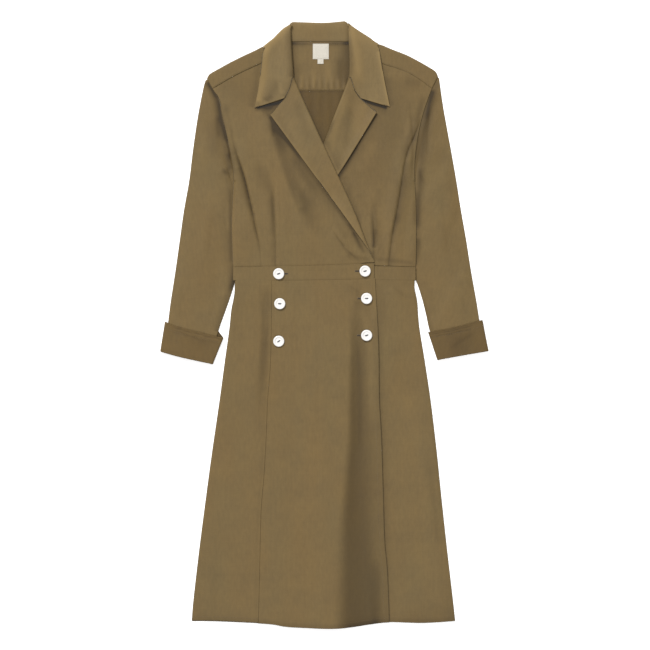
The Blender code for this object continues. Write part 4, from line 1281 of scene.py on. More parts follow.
def make_lapel(node, gorge, edge, roll, height, under, side):
    """A lapel from its edge to its roll line, and round the roll onto the front."""
    wall = mm(sizes().band_wall)
    corners = [edge[0], *gorge]
    v = steps_over(length_of(roll[:-1]), fine())
    u = snapped(steps_over(length_of(corners), fine() * 0.9), corners, 1)
    outer, line = line_at(edge, v), line_at([gorge[-1], *roll[1:-1]], v)
    width = np.hypot(*(outer - line).T)
    outward = square_to(line, side > 0)
    inner = inset_line(line, outward, height, under, wall, width)
    top = linear_at([*corners[:-1], inner[0]], u)
    low = between(outer[-1], inner[-1], u[:, None])
    plan = patch(top, low, outer, inner, u, v)
    grid = level_grid(plan, height, wall)
    dark = darkened((), LAPEL_PAINTED_LIGHT[node], plan[..., 0], plan[..., 1])
    cloth = Cloth()
    cloth.add(grid[:, ::side], wall, dark=dark[:, ::side])
    roll_strip(cloth, grid[:, -1], line, outward, under, wall, width, side, LAPEL_PAINTED_LIGHT[node])
    add_cloth(node, cloth, finish_named("facing"), grain=-lean_of([roll[0], roll[-3]]),
              held="folded", rests_on=[node.replace("lapel", "front_bodice")])


def lean_of(line):
    """How far a line leans from straight down, from its start to its end."""
    (x_a, y_a), (x_b, y_b) = line[0], line[-1]
    return math.atan2(x_b - x_a, y_a - y_b)


def heading(line):
    """The level direction from the second place of a line to the first."""
    step = np.subtract(line[0], line[1])
    return step / np.hypot(*step)


# Painted light on the lapels: painted shade beside each line, and a painted highlight where dark is
# below 0.
LAPEL_PAINTED_LIGHT = {
    "right_lapel": table(Hollow, """
4 3 0.55  0.05 0.3 -58,470 -66,450 -75,431 -82,424
3 3 -0.2  0.2  0.3 -40,450 -32,415 -20,385
8 8 0.26  0.2  0.4 -54,430 -42,388 -27,345
6 6 0.12  0.2  0.4 -92,404 -66,360 -40,325
7 9 -0.15 0.3  0.3 -70,396 -54,352 -30,310
7 8 -0.22 0.3  0.1 -6,275 25,232 52,193 76,158
""") + [Hollow(RIGHT_LAPEL_EDGE, 2.5, 2.5, -0.35, 0.02, 0.1)],
    "left_lapel": table(Hollow, """
3  4  0.2   0.05 0.3  47,470 57,446 70,429 78,421
3  10 0.35  0.05 0    2,350 30,290 52,240 66,208
6  6  0.34  0.25 0.35 50,420 44,380 36,330
8  6  -0.36 0.15 0.2  44,446 28,392 14,342 22,305
10 10 -0.26 0.2  0.3  74,424 66,390 54,352
5  4  0.95  0.3  0    18,392 6,364 -3,343
3  3  -0.3  0.02 0.1  97,403 62,346 22,283
"""),
}


def make_wing(cloth, fold, edge, gorge, roll, height, front, side):
    """One wing of the collar with its roll and the fold over the shoulder. Returns the start of
    the fall under that fold."""
    wall = mm(sizes().band_wall)
    corners = [edge[-1], *gorge]
    v = steps_over(length_of(roll) * 1.1, fine())
    u = snapped(steps_over(length_of(corners), fine() * 0.9), corners, 1)
    line = line_at([*roll[:-1], gorge[-1]], v)
    outer = line_at(edge, v)
    width = np.hypot(*(outer - line).T)
    down = v[:, None] * length_of(roll)
    near_top = fall(down, 0, 14)
    outward = square_to(line, side > 0) * (1 - near_top) + heading(fold[::-1]) * near_top
    outward /= np.hypot(*outward.T)[:, None]
    inner = inset_line(line, outward, height, front, wall, width)
    crest = line_at(fold, u)
    square = square_to(crest, True) * side
    slant = heading(edge) / (square @ heading(edge))[:, None]
    away = square + (slant - square) * fall(u * length_of(fold), 0, 14)[:, None]
    low, reach = wall / 2, np.full(len(u), 3.0)
    for _ in range(3):
        high = height(*(crest - away * reach[:, None]).T) + wall / 2
        reach = (high - low) / 2 + wall / 2
    rings = np.stack(half_round(crest, away, reach, low, high, wall, -90, 90, 9))
    top = rings[-1][:, :2].copy()
    outer[0], inner[0] = top[0], top[-1]
    low_edge = linear_at([*corners[:-1], inner[-1]], u)
    outer[-1], inner[-1] = low_edge[0], low_edge[-1]
    plan = patch(top, low_edge, outer, inner, u, v)
    inward = np.einsum("rci,ci->rc", crest - plan, square)
    push = np.maximum(reach + 0.4 * down - inward, 0) * fall(down, 12, 30)
    push[0] = 0
    plan -= push[..., None] * square
    grid = level_grid(plan, height, wall)
    grid[0] = rings[-1]
    sheet = np.concatenate([rings, grid[1:]])
    dark = darkened((), WING_PAINTED_LIGHT, sheet[..., 0], sheet[..., 1])
    cloth.add(sheet[:, ::side], wall, dark=dark[:, ::side])
    roll_strip(cloth, grid[:, -1], line, outward, front, wall, width, side, WING_PAINTED_LIGHT)
    return rings[0][::side]


# Painted light on the collar's wings: painted shade beside each line, and a painted highlight where
# dark is below 0.
WING_PAINTED_LIGHT = table(Hollow, """
5  4  0.7   0.6  0.05 -60,492 -62,462 -67,446 -75,431
3  3  0.3   0.05 0.2  47,470 57,446 70,429
12 10 0.5   0.4  0.1  -84,470 -98,446 -112,424
5  6  0.35  0.2  0.3  -121,426 -108,428 -96,436
4  4  -0.35 0.2  0.2  -84,462 -83,448 -81,437
9  9  -0.95 0    0    -112,530 -94,545 -77,560 -65,570
8  7  -0.75 0    0.1  -111,525 -114,492 -119,455 -127,420
10 12 -0.45 0    0    96,532 80,543 58,556 46,568
6  10 -0.6  0.02 0.3  46,570 52,548 60,515 63,480 62,450
6  4  -0.9  0.02 0    105,520 113,480 120,445 125,416
16 16 -0.14 0.3  0.1  88,455 94,440 100,428
5  5  -0.3  0    0.2  112,416 98,420 80,427
""") + [Hollow(RIGHT_WING_ROLL, 10, 4, 0.75, 0.1, 0.02),
        Hollow(LEFT_WING_ROLL, 4, 5, 0.75, 0.1, 0.05)]


def make_collar():
    """The wings, the stand between them, which folds over at its top, and the fall behind."""
    wall = mm(sizes().band_wall)
    cloth = Cloth()
    ends = []
    for fold, edge, gorge, roll, lapel, front, side in (
        (RIGHT_WING_FOLD, RIGHT_WING_EDGE, RIGHT_GORGE, RIGHT_WING_ROLL, right_lapel,
         right_front, 1),
        (LEFT_WING_FOLD, LEFT_WING_EDGE, LEFT_GORGE, LEFT_WING_ROLL, left_lapel, left_front, -1),
    ):
        height = wing(front, lapel, gorge, roll, edge, side)
        ends.append(make_wing(cloth, fold, edge, gorge, roll, height, front, side))
    u = steps_over(114, fine())
    crest = at_widths(COLLAR_TOP, between(-67, 51, u))
    seat, rise = 1.5, 3.0
    high, low = seat + rise + wall / 2, wall / 2
    reach = np.full(len(u), (high - low) / 2 + wall / 2)
    rings = np.stack(half_round(crest, np.array([0, 1]), reach, low, high, wall, -90, 90, 9))
    seam = np.column_stack([between(-67.5, 49.5, u), np.full(len(u), NECK_SEAM + 0.3)])
    plan = between(rings[-1][None, :, :2], seam[None], steps_over(36, fine())[:, None, None])
    x, y = plan[..., 0], plan[..., 1]
    z = seat + (rise * ramp(y, 541, 570) + 0.5 * waves(x, y, 12, 30, 80, 0.6)) + wall / 2
    stand = np.concatenate([rings, np.dstack([plan, z])[1:]])
    x, y = stand[..., 0], stand[..., 1]
    # Painted shade along the neck seam and beside both wing rolls, and a painted highlight towards
    # the top fold.
    dark = (0.5 * bell(y - NECK_SEAM, 4) + 0.2 * bell(x + 61, 4) + 0.45 * bell(x - 45, 4)
            - 0.12 * ramp(y, 545, 565))
    cloth.add(stand, wall, dark=dark)
    behind = np.concatenate([ends[0], rings[0], ends[1]])[:, :2]
    edge = line_at(FALL_EDGE, np.linspace(0, 1, len(behind)))
    plan = between(behind[None], edge[None], steps_over(50, 5)[::-1, None, None])
    cloth.add(np.dstack([plan, np.full(plan.shape[:2], wall / 2)]), wall)
    stitches = sew("neck_seam_stitches", [row_on([(-56, 534), (-7, 533.4), (42, 534)], yoke_back,
                                                 mm(sizes().cloth_wall))])
    add_cloth("collar", cloth, finish_named("collar"), held="folded", rests_on=["back_yoke"],
              goes_with=[stitches])


def shoulder_columns(fold, seam, armhole, count, wall):
    """Columns of the yoke over one shoulder, from the neck to the armhole: each runs up the front
    from the forward seam, over the fold, and down the back. Also gives the row that the back
    starts from."""
    share = np.linspace(0, 1, count)
    crest = line_at(fold[::-1], share)
    front = line_at(seam[::-1], share) + np.array([0, 0.3])
    corner = at_heights(armhole, np.array([YOKE_LOW]))[0]
    neck_x = fold[-1][0]
    low_edge = np.column_stack([between(neck_x, corner[0], share), np.full(count, YOKE_LOW)])
    away = square_to(crest, False)
    away = np.where((away[:, 1] < 0)[:, None], -away, away)
    puff, reach = 0.9, np.full(count, 1.4)
    for _ in range(3):
        inner = crest - away * reach[:, None]
        high, low = yoke_front(*inner.T) + puff + wall / 2, yoke_back(*inner.T) + wall / 2
        reach = (high - low) / 2 + wall / 2
    rows = []
    for t in np.linspace(1, 0, 9)[:-1]:
        place = between(inner, front, t)
        z = yoke_front(*place.T) + puff * fall(t, 0, 1) + wall / 2
        rows.append(np.column_stack([place, z]))
    rows += half_round(crest, away, reach, low, high, wall, 90, -90, 8)
    back_from = len(rows) - 1
    for t in np.linspace(0, 1, YOKE_ROWS)[1:]:
        place = between(inner, low_edge, t)
        rows.append(np.column_stack([place, yoke_back(*place.T) + wall / 2]))
    return np.stack(rows), back_from


# Painted light on the yoke: painted shade beside each line, and a painted highlight where dark is
# below 0.
YOKE_PAINTED_LIGHT = table(Hollow, """
8 7 0.5   0.3 0.3 27,512 28,488 26,462
7 7 0.25  0.3 0.3 -52,500 -50,480 -47,455
6 6 -0.34 0.3 0.3 6,505 7,480 9,455
5 5 -0.3  0.3 0.1 -24,490 -20,470 -22,450
5 5 -0.3  0.3 0.1 -44,480 -42,465 -43,450
8 8 0.3   0.2 0.3 28,536 16,534 4,532
5 5 0.3   0.1 0.3 -62,535 -46,534 -30,533
""")


def make_yoke():
    """The yoke: over both shoulders, and gathered down the back between them."""
    wall = mm(sizes().cloth_wall)
    right, back_from = shoulder_columns(RIGHT_SHOULDER_FOLD, RIGHT_SHOULDER_SEAM, RIGHT_ARMHOLE, 44,
                                        wall)
    left, _ = shoulder_columns(LEFT_SHOULDER_FOLD, LEFT_SHOULDER_SEAM, LEFT_ARMHOLE, 46, wall)
    cloth = Cloth()
    cloth.add(right[:, ::-1], wall)
    cloth.add(left, wall)
    first, last = right[back_from:, 0], left[back_from:, 0]
    x, y = np.meshgrid(np.linspace(first[0, 0] + 0.6, last[0, 0] - 0.6, 60),
                       between(537.7, YOKE_LOW, np.linspace(0, 1, YOKE_ROWS)))
    middle = np.dstack([x, y, yoke_back(x, y) + wall / 2])
    middle = np.concatenate([first[:, None], middle, last[:, None]], axis=1)
    x, y = middle[..., 0], middle[..., 1]
    # Painted shade along the neck seam, in the troughs of the gathers and beside both wing rolls,
    # and a painted highlight along the low edge.
    dark = (0.75 * bell(y - 535.5, 3.5) - 0.2 * bell(y - 446, 2.5)
            + 0.45 * (0.5 - 0.5 * gathers(x)) * fall(y, 449, 480) * fall(np.abs(x + 2), 44, 62)
            + 0.55 * bell(x + 60, 9) + 1.0 * bell(x - 45, 15) * ramp(y, 440, 470)
            + darkened((), YOKE_PAINTED_LIGHT, x, y))
    cloth.add(middle, wall, dark=dark)
    rows = [row_on([(-50, 447.6), (-5, 447.4), (44, 447.6)], yoke_back, wall)]
    for seam in (RIGHT_SHOULDER_SEAM, LEFT_SHOULDER_SEAM):
        rows.append(row_on(seam, yoke_front, wall + 0.1, shift=(0, 3.2), part=(0.03, 0.72)))
    stitches = sew("yoke_stitches", rows)
    add_cloth("back_yoke", cloth, finish_named("cloth"), held="folded", goes_with=[stitches])


def make_back_bodice():
    """The back, from the yoke to the waistband: its inside shows between the fronts."""
    step = gap() * 1.3
    ys = between(444.7, 110.3, steps_over(335, step))
    a = at_heights(RIGHT_ARMHOLE + RIGHT_SIDE, ys)
    b = at_heights(LEFT_ARMHOLE + LEFT_SIDE, ys)
    u = steps_over(345, step)
    plan = fitted(between(a[:, None], b[:, None], u[None, :, None]), "back_bodice")

    # Painted shade: in the troughs of the pleats, under the yoke's low edge, and beside the right
    # roll line where the lapel stands over the back.
    def inside(x, y):
        off, _ = near_line(RIGHT_ROLL, x, y)
        return (0.22 * (0.5 - 0.5 * pleats(x)) * ramp(y, 320, 420) * fall(np.abs(x + 2), 50, 70)
                + 0.35 * bell(y - 444, 3) + 0.3 * bell(off, 9))
    lay_panel("back_bodice", plan, back_bodice, mm(sizes().cloth_wall), finish_named("inside"),
              creases=BACK_CREASES, extra_dark=inside)


def make_fronts():
    """The two front bodices; each lies under its waistband, and is pressed flat at its side."""
    wall, cloth = mm(sizes().cloth_wall), finish_named("cloth")
    plan = front_plan(RIGHT_ARMHOLE[1:] + RIGHT_SIDE, RIGHT_NECK_EDGE + RIGHT_ROLL,
                      RIGHT_SHOULDER_SEAM, True)
    plan = drawn_to(fitted(plan, "right_front_bodice"), RIGHT_FRONT_CREASES)
    tuck = band_edge("right_waistband", plan[-1:, :, 0], False) - 1.6 - plan[-1:, :, 1]
    plan[..., 1] += tuck * fall(plan[..., 1], 111, 150) * fall(plan[..., 0], 60, 80)
    under_arm = 60 * ramp(plan[..., 1], 272, 296)
    lay_panel("right_front_bodice", plan, right_front, wall, cloth, RIGHT_FRONT_CREASES,
              RIGHT_FRONT_PAINTED_LIGHT, from_edge=plan[..., 0] - plan[:, :1, 0] + under_arm,
              rests_on=["back_bodice", "left_front_bodice"])
    plan = front_plan(LEFT_ARMHOLE[1:] + LEFT_SIDE, LEFT_NECK_EDGE + LEFT_ROLL,
                      LEFT_SHOULDER_SEAM, False)
    plan = drawn_to(fitted(plan, "left_front_bodice"), LEFT_FRONT_CREASES)
    under_arm = 60 * ramp(plan[..., 1], 272, 296)
    lay_panel("left_front_bodice", plan, left_front, wall, cloth, LEFT_FRONT_CREASES,
              LEFT_FRONT_PAINTED_LIGHT, from_edge=plan[:, -1:, 0] - plan[..., 0] + under_arm,
              rests_on=["back_bodice"])


def tube(plan, low, high, wall, dark, round_over):
    """A flattened tube whose sides are folded soft."""
    x, y = plan[..., 0], plan[..., 1]
    ends = np.hypot(x - x[:, :1], y - y[:, :1]), np.hypot(x - x[:, -1:], y - y[:, -1:])
    near = np.clip(np.minimum(*ends) / round_over, 0, 1)
    full = np.sqrt(1 - (1 - near) ** 2)
    middle = (low + high) / 2
    front = np.dstack([x, y, middle + (high - middle) * full + wall / 2])
    behind = np.dstack([x, y, middle - (middle - low) * full + wall / 2])[:, -2:0:-1]
    return (np.concatenate([front, behind], axis=1),
            np.concatenate([dark, np.zeros(behind.shape[:2])], axis=1))


def make_sleeve(side, armhole, outer, inner, front, seed):
    """A set-in sleeve, flush with the body at the armhole and inside its cuff below."""
    wall = mm(sizes().cloth_wall)
    node = f"{side}_sleeve"
    sign = -1 if side == "right" else 1
    v = steps_over(length_of(outer), fine())
    u = steps_over(118, fine(), close=CLOSE_ROWS)
    seam = at_heights(armhole, np.array([449, 425, 400, 370, 335, 305, 281.0]))
    top = line_at([(outer[0][0] - sign * 1.2, outer[0][1] + 0.3),
                   *[(x - sign * 1.6, y) for x, y in seam]], u)
    outer_line, inner_line = line_at(outer, v), line_at(inner, v)
    outer_line[0], inner_line[0] = top[0], top[-1]
    low_edge = between(outer_line[-1], inner_line[-1], u[:, None])
    plan = fitted(patch(top, low_edge, outer_line, inner_line, u, v), node)
    plan[0] += (-sign * 2.4, 2.2)
    x, y = plan[..., 0], plan[..., 1]
    across, along = np.broadcast_arrays(u[None, :], v[:, None])
    by_body = fall(along, 0, 0.045)
    in_cuff = ramp(along, 0.78, 0.86)
    soft = ramp(along, 0.03, 0.2) * ramp(across, 0, 0.12) * fall(across, 0.6, 0.78)
    sway = 1.7 * waves(x - 0.25 * sign * y, y, seed, 45, 150, 0.4)
    full = 1.7 * np.sin(np.pi * np.minimum(across / 0.76, 1)) ** 2 * ramp(along, 0.03, 0.2)
    folds = creased(SLEEVE_CREASES[side], x, y) * fall(across, 0.84, 0.95)
    own = LAYER + 1.45 * in_cuff + (full + sway * soft + folds) * (1 - 0.75 * in_cuff)
    seat = np.maximum(front(x, y) - 1.5, back(x, y) + wall + 0.15)
    high = by_body * seat + (1 - by_body) * own + 0.9 * bell(along - 0.045, 0.025)
    low = by_body * back(x, y) + 1.35 * in_cuff
    dark = darkened(SLEEVE_CREASES[side], SLEEVE_PAINTED_LIGHT[side], x, y)
    plan, low, high, dark = (part[:, ::-sign] for part in (plan, low, high, dark))
    ring, shade = tube(plan, low, high, wall, dark, 1.6)
    cloth = Cloth()
    cloth.add(ring, wall, dark=shade, closed=True)
    add_cloth(node, cloth, finish_named("cloth"), grain=-lean_of(outer))


def make_cuff(side, edges):
    """A turned-back cuff: a tube round the end of the sleeve, folded in below."""
    wall = mm(sizes().band_wall)
    node = f"{side}_cuff"
    top, low_edge, outer, inner = edges
    u = steps_over(112, gap(), close=CLOSE_ROWS)
    v = np.concatenate([np.arange(0, 16, 1.3), np.linspace(17, 51.3, 14), [52]]) / CUFF_DEPTH
    plan = patch(line_at(top, u), line_at(low_edge, u), line_at(outer, v), line_at(inner, v), u, v)
    plan = fitted(plan, node)[:, ::1 if side == "right" else -1]
    x, y = plan[..., 0], plan[..., 1]
    across, along = np.broadcast_arrays(u[None, :], v[:, None])
    high = (4.5 + 1.5 * np.sin(np.pi * across) ** 2 * (0.4 + 0.6 * along)
            + creased(CUFF_CREASES[side], x, y) + 0.8 * waves(x, y, 21, 40, 110, 1.0)
            + 0.5 * fall(along, 0, 0.12))
    # Painted shade beside the creases and along the low edge.
    dark = darkened(CUFF_CREASES[side], (), x, y) + 0.12 * ramp(along, 0.93, 1)
    sway = 0.9 * np.sin(x * 0.19) + 0.6 * np.sin(x * 0.47 + 1)
    for at, width, deep, wander, start, end in CUFF_RIDGES[side]:
        ridge = (deep * bell(CUFF_DEPTH * along - at - wander * sway, width)
                 * ramp(across, start, start + 0.12) * fall(across, end - 0.12, end)
                 * (0.75 + 0.25 * np.sin(x * 0.33 + at)))
        dark = dark + ridge
        high = high - 0.8 * ridge
    # Painted shade: the left cuff is darker all over, and most across its middle.
    if side == "left":
        dark = dark + 0.2 + 0.18 * bell(across - 0.45, 0.25)
    ring, shade = tube(plan, np.zeros_like(high), high, wall, dark, 3.0)
    # The lip turns over at the low edge and runs back up inside.
    last = plan[-1]
    step = (last - plan[-2]) / np.hypot(*(last - plan[-2]).T)[:, None]
    turn = np.linspace(0, math.pi, 6)[1:]
    out_by = np.concatenate([0.7 * np.sin(turn), [-3.0, -7.0, -11.0]])[:, None, None]
    inset = np.concatenate([0.7 * (1 - np.cos(turn)), [1.4, 1.4, 1.4]])[:, None]
    lip = last + step * out_by
    inward = np.where(last[:, 0] < last[:, 0].mean(), 1.0, -1.0)
    to_side = np.minimum(np.abs(last[:, 0] - last[0, 0]), np.abs(last[:, 0] - last[-1, 0]))
    lip[..., 0] += inward * inset * (to_side < 3)
    # The lip is darkened with painted shade.
    lip_ring, lip_shade = tube(lip, 0 * high[-1:] + inset, high[-1:] - inset, wall,
                               np.full(lip.shape[:2], 0.3), 3.0)
    ring, shade = np.concatenate([ring, lip_ring]), np.concatenate([shade, lip_shade])
    if side == "right":
        # The underside shows past the upper edge, darkened with painted shade.
        behind = np.arange(ring.shape[1]) >= plan.shape[1]
        rise = 12 * np.clip(1 - np.abs(ring[..., 0] + 203) / 11, 0, 1)
        fade = np.concatenate([fall(v, 0, 0.4), np.zeros(len(lip))])[:, None]
        ring[..., 1] += rise * fade * behind
        shade = shade + 0.9 * behind * fade * (rise > 0.5)
    cloth = Cloth()
    cloth.add(ring, wall, dark=shade, closed=True)
    seam = 10 / CUFF_DEPTH
    z = high[int(np.argmin(np.abs(v - seam)))] + wall
    row = np.column_stack([between(plan[0], plan[-1], seam), z])
    stitches = sew(f"{side}_cuff_stitches", [row[4:-4]])
    add_cloth(node, cloth, finish_named("cuff"), grain=-lean_of(outer), held="folded",
              rests_on=[f"{side}_sleeve"], goes_with=[stitches])


def make_bands():
    """The waistband's three parts: each front one rises a little towards its far end."""
    for node, x_a, x_b, rise_a, rise_b, height, rests_on in (
        ("back_waistband", -173.5, 173, 0, 0, back_band, []),
        ("left_waistband", -88, 173, 7, 0, left_band, ["back_waistband"]),
        ("right_waistband", -173.5, 94.5, 0, 7, right_band, ["left_waistband"]),
    ):
        u, v = steps_over(x_b - x_a, gap()), steps_over(BAND_TOP - BAND_LOW, gap() * 0.8)
        a, b = (between(np.array([x, BAND_TOP + rise]), np.array([x, BAND_LOW + rise / 2]),
                        v[:, None]) for x, rise in ((x_a, rise_a), (x_b, rise_b)))
        plan = fitted(between(a[:, None], b[:, None], u[None, :, None]), node)
        if node == "right_waistband":
            plan[..., 1] -= 1.2 * (1 - (2 * u - 1) ** 2)
        lay_panel(node, plan, height, mm(sizes().band_wall), finish_named("cloth"),
                  extra_dark=None if node == "back_waistband" else band_shade(node),
                  rests_on=rests_on)


def band_shade(node):
    """Painted shade along both edges of a waistband; past x = 94 a band is also a little darker."""
    def shade(x, y):
        rise = 5 * (x + 173) / 267 if node == "right_waistband" else 5 * (173 - x) / 261
        off = np.abs(y - (BAND_TOP + BAND_LOW) / 2 - rise)
        return 0.12 * ramp(x, 94, 100) + 0.1 * ramp(off, 9.5, 12.5)
    return shade


def make_skirt():
    """The four panels, with the walls that hems and turned edges give them."""
    folded = hem_wall(mm(sizes().cloth_wall))

    def edge_wall(x, y):
        off, _ = near_line(WRAP_EDGE, x, y)
        return folded(x, y) + 0.4 * fall(-off, 8.5, 11)

    def seam_wall(x, y):
        off, _ = near_line(PRINCESS_SEAM, x, y)
        return folded(x, y) + 0.25 * fall(-off, 10, 12.5) * fall(y, 40, 80)

    left_seam, right_seam = ([(x + by, y) for x, y in PRINCESS_SEAM] for by in (-0.15, 0.15))
    left = LEFT_SKIRT_CREASES, LEFT_SKIRT_PAINTED_LIGHT
    right = RIGHT_SKIRT_CREASES, RIGHT_SKIRT_PAINTED_LIGHT
    for node, a, b, step, height, wall_at, marks, shade, pressed_column, rests_on in (
        ("back_skirt", RIGHT_SKIRT_SIDE, LEFT_SKIRT_SIDE, 5.0, back, folded, (BACK_CREASES, ()),
         None, None, []),
        ("left_front_skirt", UNDER_EDGE, LEFT_SKIRT_SIDE, gap(), left_skirt, folded, left,
         None, -1, ["back_skirt"]),
        ("right_front_skirt", right_seam, WRAP_EDGE, gap(), right_skirt, edge_wall, right,
         fold_shade, None, ["left_front_skirt"]),
        ("right_side_skirt", RIGHT_SKIRT_SIDE, left_seam, gap(), right_skirt, seam_wall, right,
         None, 0, ["back_skirt"]),
    ):
        plan = fitted(skirt_plan(a, b, step), node)
        if node != "back_skirt":
            band = "left_waistband" if node == "left_front_skirt" else "right_waistband"
            tuck = band_edge(band, plan[..., 0], True) + 0.8 - WAIST
            plan[..., 1] += tuck * ramp(plan[..., 1], 40, 83)
        x, y = plan[..., 0], plan[..., 1]
        from_edge = None if pressed_column is None else np.abs(x - x[:, [pressed_column]])
        rows = skirt_stitches(node, height, wall_at)
        stitches = [sew(f"{node}_stitches", rows)] if rows else []
        lay_panel(node, plan, height, wall_at(x, y),
                  finish_named("inside" if node == "back_skirt" else "cloth"), *marks, shade,
                  from_edge, rests_on=rests_on, goes_with=stitches)


def skirt_stitches(node, height, wall_at):
    """The hem row of each front panel, and the row down the wrap edge."""
    spans = {"left_front_skirt": (-110, 246), "right_front_skirt": (-124, 120),
             "right_side_skirt": (-249, -128)}
    if node not in spans:
        return []
    low, high = spans[node]
    hem = at_widths(HEM, np.linspace(low, high, int((high - low) / 3))) + np.array([0, 7.2])
    hem[:, 0] = np.maximum(hem[:, 0], -247.5)
    lines = [hem]
    if node == "right_front_skirt":
        lines.append(at_heights(WRAP_EDGE, np.linspace(82, -558, 200)) - np.array([9.5, 0]))
    return [np.column_stack([line, height(*line.T) + wall_at(*line.T) - 0.05]) for line in lines]


# ---- buttons and labels -----------------------------------------------------------------------

def top_of_cloth(x, y):
    """The upper face of the outermost cloth of the skirt and its band."""
    on_band = y > BAND_LOW
    return np.where(on_band, right_band(x, y) + mm(sizes().band_wall),
                    right_skirt(x, y) + mm(sizes().cloth_wall) + 0.4)


def button_seat(node):
    """A button's middle from its solid, and the height that it sits at on the cloth."""
    low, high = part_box(node)
    x, y = (low.x + high.x) / 2 / MM, (low.y + high.y) / 2 / MM
    radius = (high.x - low.x) / 2 / MM
    a, r = np.meshgrid(np.linspace(0, TURN, 24), (0, radius * 0.6, radius * 0.9))
    return x, y, float(top_of_cloth(x + r * np.cos(a), y + r * np.sin(a)).max()) + 0.25


def around(count):
    """Each number below count with the next, and the last with 0."""
    return [(i, (i + 1) % count) for i in range(count)]


def ring_faces(count, sides, base=0, closed=False):
    """Faces that join rings of places, each to the next."""
    links = around(count) if closed else around(count)[:-1]
    return [tuple(base + sides * row + at for row, at in ((i, k), (i, m), (j, m), (j, k)))
            for i, j in links for k, m in around(sides)]


def turned_profile(profile, sides):
    """A closed round solid from its outline, listed from the middle below to the middle above."""
    turns = [TURN * i / sides for i in range(sides)]
    rings = [(r * math.cos(a), r * math.sin(a), z) for r, z in profile[1:-1] for a in turns]
    places = [(0, 0, profile[0][1]), *rings, (0, 0, profile[-1][1])]
    last = len(rings) + 1 - sides
    faces = []
    for i, j in around(sides):
        faces.append((0, 1 + j, 1 + i))
        faces += [(a + i, a + j, a + j + sides, a + i + sides) for a in range(1, last, sides)]
        faces.append((last + i, last + j, len(places) - 1))
    return places, faces


def cut_holes(places, faces, radius, spacing):
    """The button's plain mesh with two thread holes cut through it."""
    blank = add_mesh("button_blank", places, faces)
    pegs = []
    for way in (-1, 1):
        mesh = bmesh.new()
        bmesh.ops.create_cone(mesh, cap_ends=True, segments=20, radius1=radius * MM,
                              radius2=radius * MM, depth=12 * MM,
                              matrix=Matrix.Translation((way * spacing / 2 * MM, 0, 1.5 * MM)))
        data = bpy.data.meshes.new("peg")
        mesh.to_mesh(data)
        mesh.free()
        pegs.append(new_object("peg", data))
        cut = blank.modifiers.new("hole", "BOOLEAN")
        cut.operation, cut.object, cut.solver = "DIFFERENCE", pegs[-1], "EXACT"
    return applied(blank, *pegs)


def thread_bar(spacing, top):
    """Strands of thread from hole to hole, as one closed mesh of rings."""
    places, faces = [], []
    sides, steps = 6, np.linspace(-1, 1, 13)
    for strand, shift in enumerate((-0.75, -0.25, 0.25, 0.75)):
        base = len(places)
        for t in steps:
            y, z = shift * (1 - 0.25 * abs(t)), top + 0.6 - 1.9 * abs(t) ** 5 + 0.12 * (strand % 2)
            size = 0.33 if abs(t) < 1 else 0.12
            places += [(t * (spacing / 2 + 0.25), y + size * math.cos(TURN * k / sides),
                        z + size * math.sin(TURN * k / sides)) for k in range(sides)]
        faces += ring_faces(len(steps), sides, base)
        faces.append(tuple(range(base + sides - 1, base - 1, -1)))
        faces.append(tuple(range(len(places) - sides, len(places))))
    return places, faces


def make_buttons():
    """Six pearl buttons on the places of their solids, each at its own slight tilt."""
    low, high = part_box("button_1")
    r = (high.x - low.x) / 2 / MM
    profile = [(0, 0), (r * 0.72, 0), (r - 0.9, 0.15), (r - 0.25, 0.7), (r, 1.4), (r - 0.12, 2.1),
               (r - 0.5, 2.65), (r - 1.1, 2.95), (r - 1.9, 3.0), (r - 2.7, 2.9), (r - 3.5, 2.6),
               (r - 4.2, 2.2), (r - 4.8, 1.98), (r - 5.6, 1.9), (2.9, 1.87), (0.4, 1.85), (0, 1.85)]
    holes = 4.6
    pattern = cut_holes(*turned_profile(profile, 64), 1.1, holes)
    where = np.array([tuple(v.co) for v in pattern.vertices]) / MM
    far = np.hypot(where[:, 0], where[:, 1])
    # Painted shade: darker in the dish, most on its left side, and at the very rim.
    painted_dish_shade = (fall(far, r - 5.4, r - 3.4) * (0.42 - 0.4 * where[:, 0] / r)
            + 0.25 * ramp(far, r - 0.5, r))
    for node, tilt, grey in zip(BUTTONS, BUTTON_TILT, BUTTON_SHADE):
        x, y, seat = button_seat(node)
        lean = Matrix.Translation(Vector((x, y, seat + 0.4)) * MM)
        for angle, axis in zip((*tilt, 8 + 5 * tilt[0]), "XYZ"):
            lean = lean @ Matrix.Rotation(math.radians(angle), 4, axis)
        mesh = pattern.copy()
        mesh.transform(lean)
        add_shade(mesh, np.clip(painted_dish_shade + grey, 0, 1))
        mesh.materials.clear()
        mesh.materials.append(finish_named("pearl"))
        mesh.set_sharp_from_angle(angle=math.radians(50))
        made = ridden(f"{node}_pearl", mesh)
        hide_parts(node)
        bar = add_mesh(f"{node}_thread", *thread_bar(holes, 1.85))
        bar.data.transform(lean)
        bar.data.materials.append(finish_named("button_thread"))
    bpy.data.meshes.remove(pattern)


def slot_loop(low, high, y, radius):
    """Places round a long slot with round ends."""
    across = np.linspace(low, high, 20, endpoint=False)
    turn = np.radians(np.linspace(90, -90, 8, endpoint=False))
    half = np.concatenate([
        np.column_stack([across, np.full(20, y + radius)]),
        np.column_stack([high + radius * np.cos(turn), y + radius * np.sin(turn)])])
    return np.concatenate([half, np.array([low + high, 2 * y]) - half])


def outward_mesh(name, places, faces, finish):
    """A closed mesh with all its faces turned outwards."""
    made = add_mesh(name, places, faces)
    made.data.materials.append(finish_named(finish))
    mesh = bmesh.new()
    mesh.from_mesh(made.data)
    bmesh.ops.recalc_face_normals(mesh, faces=mesh.faces)
    mesh.to_mesh(made.data)
    mesh.free()


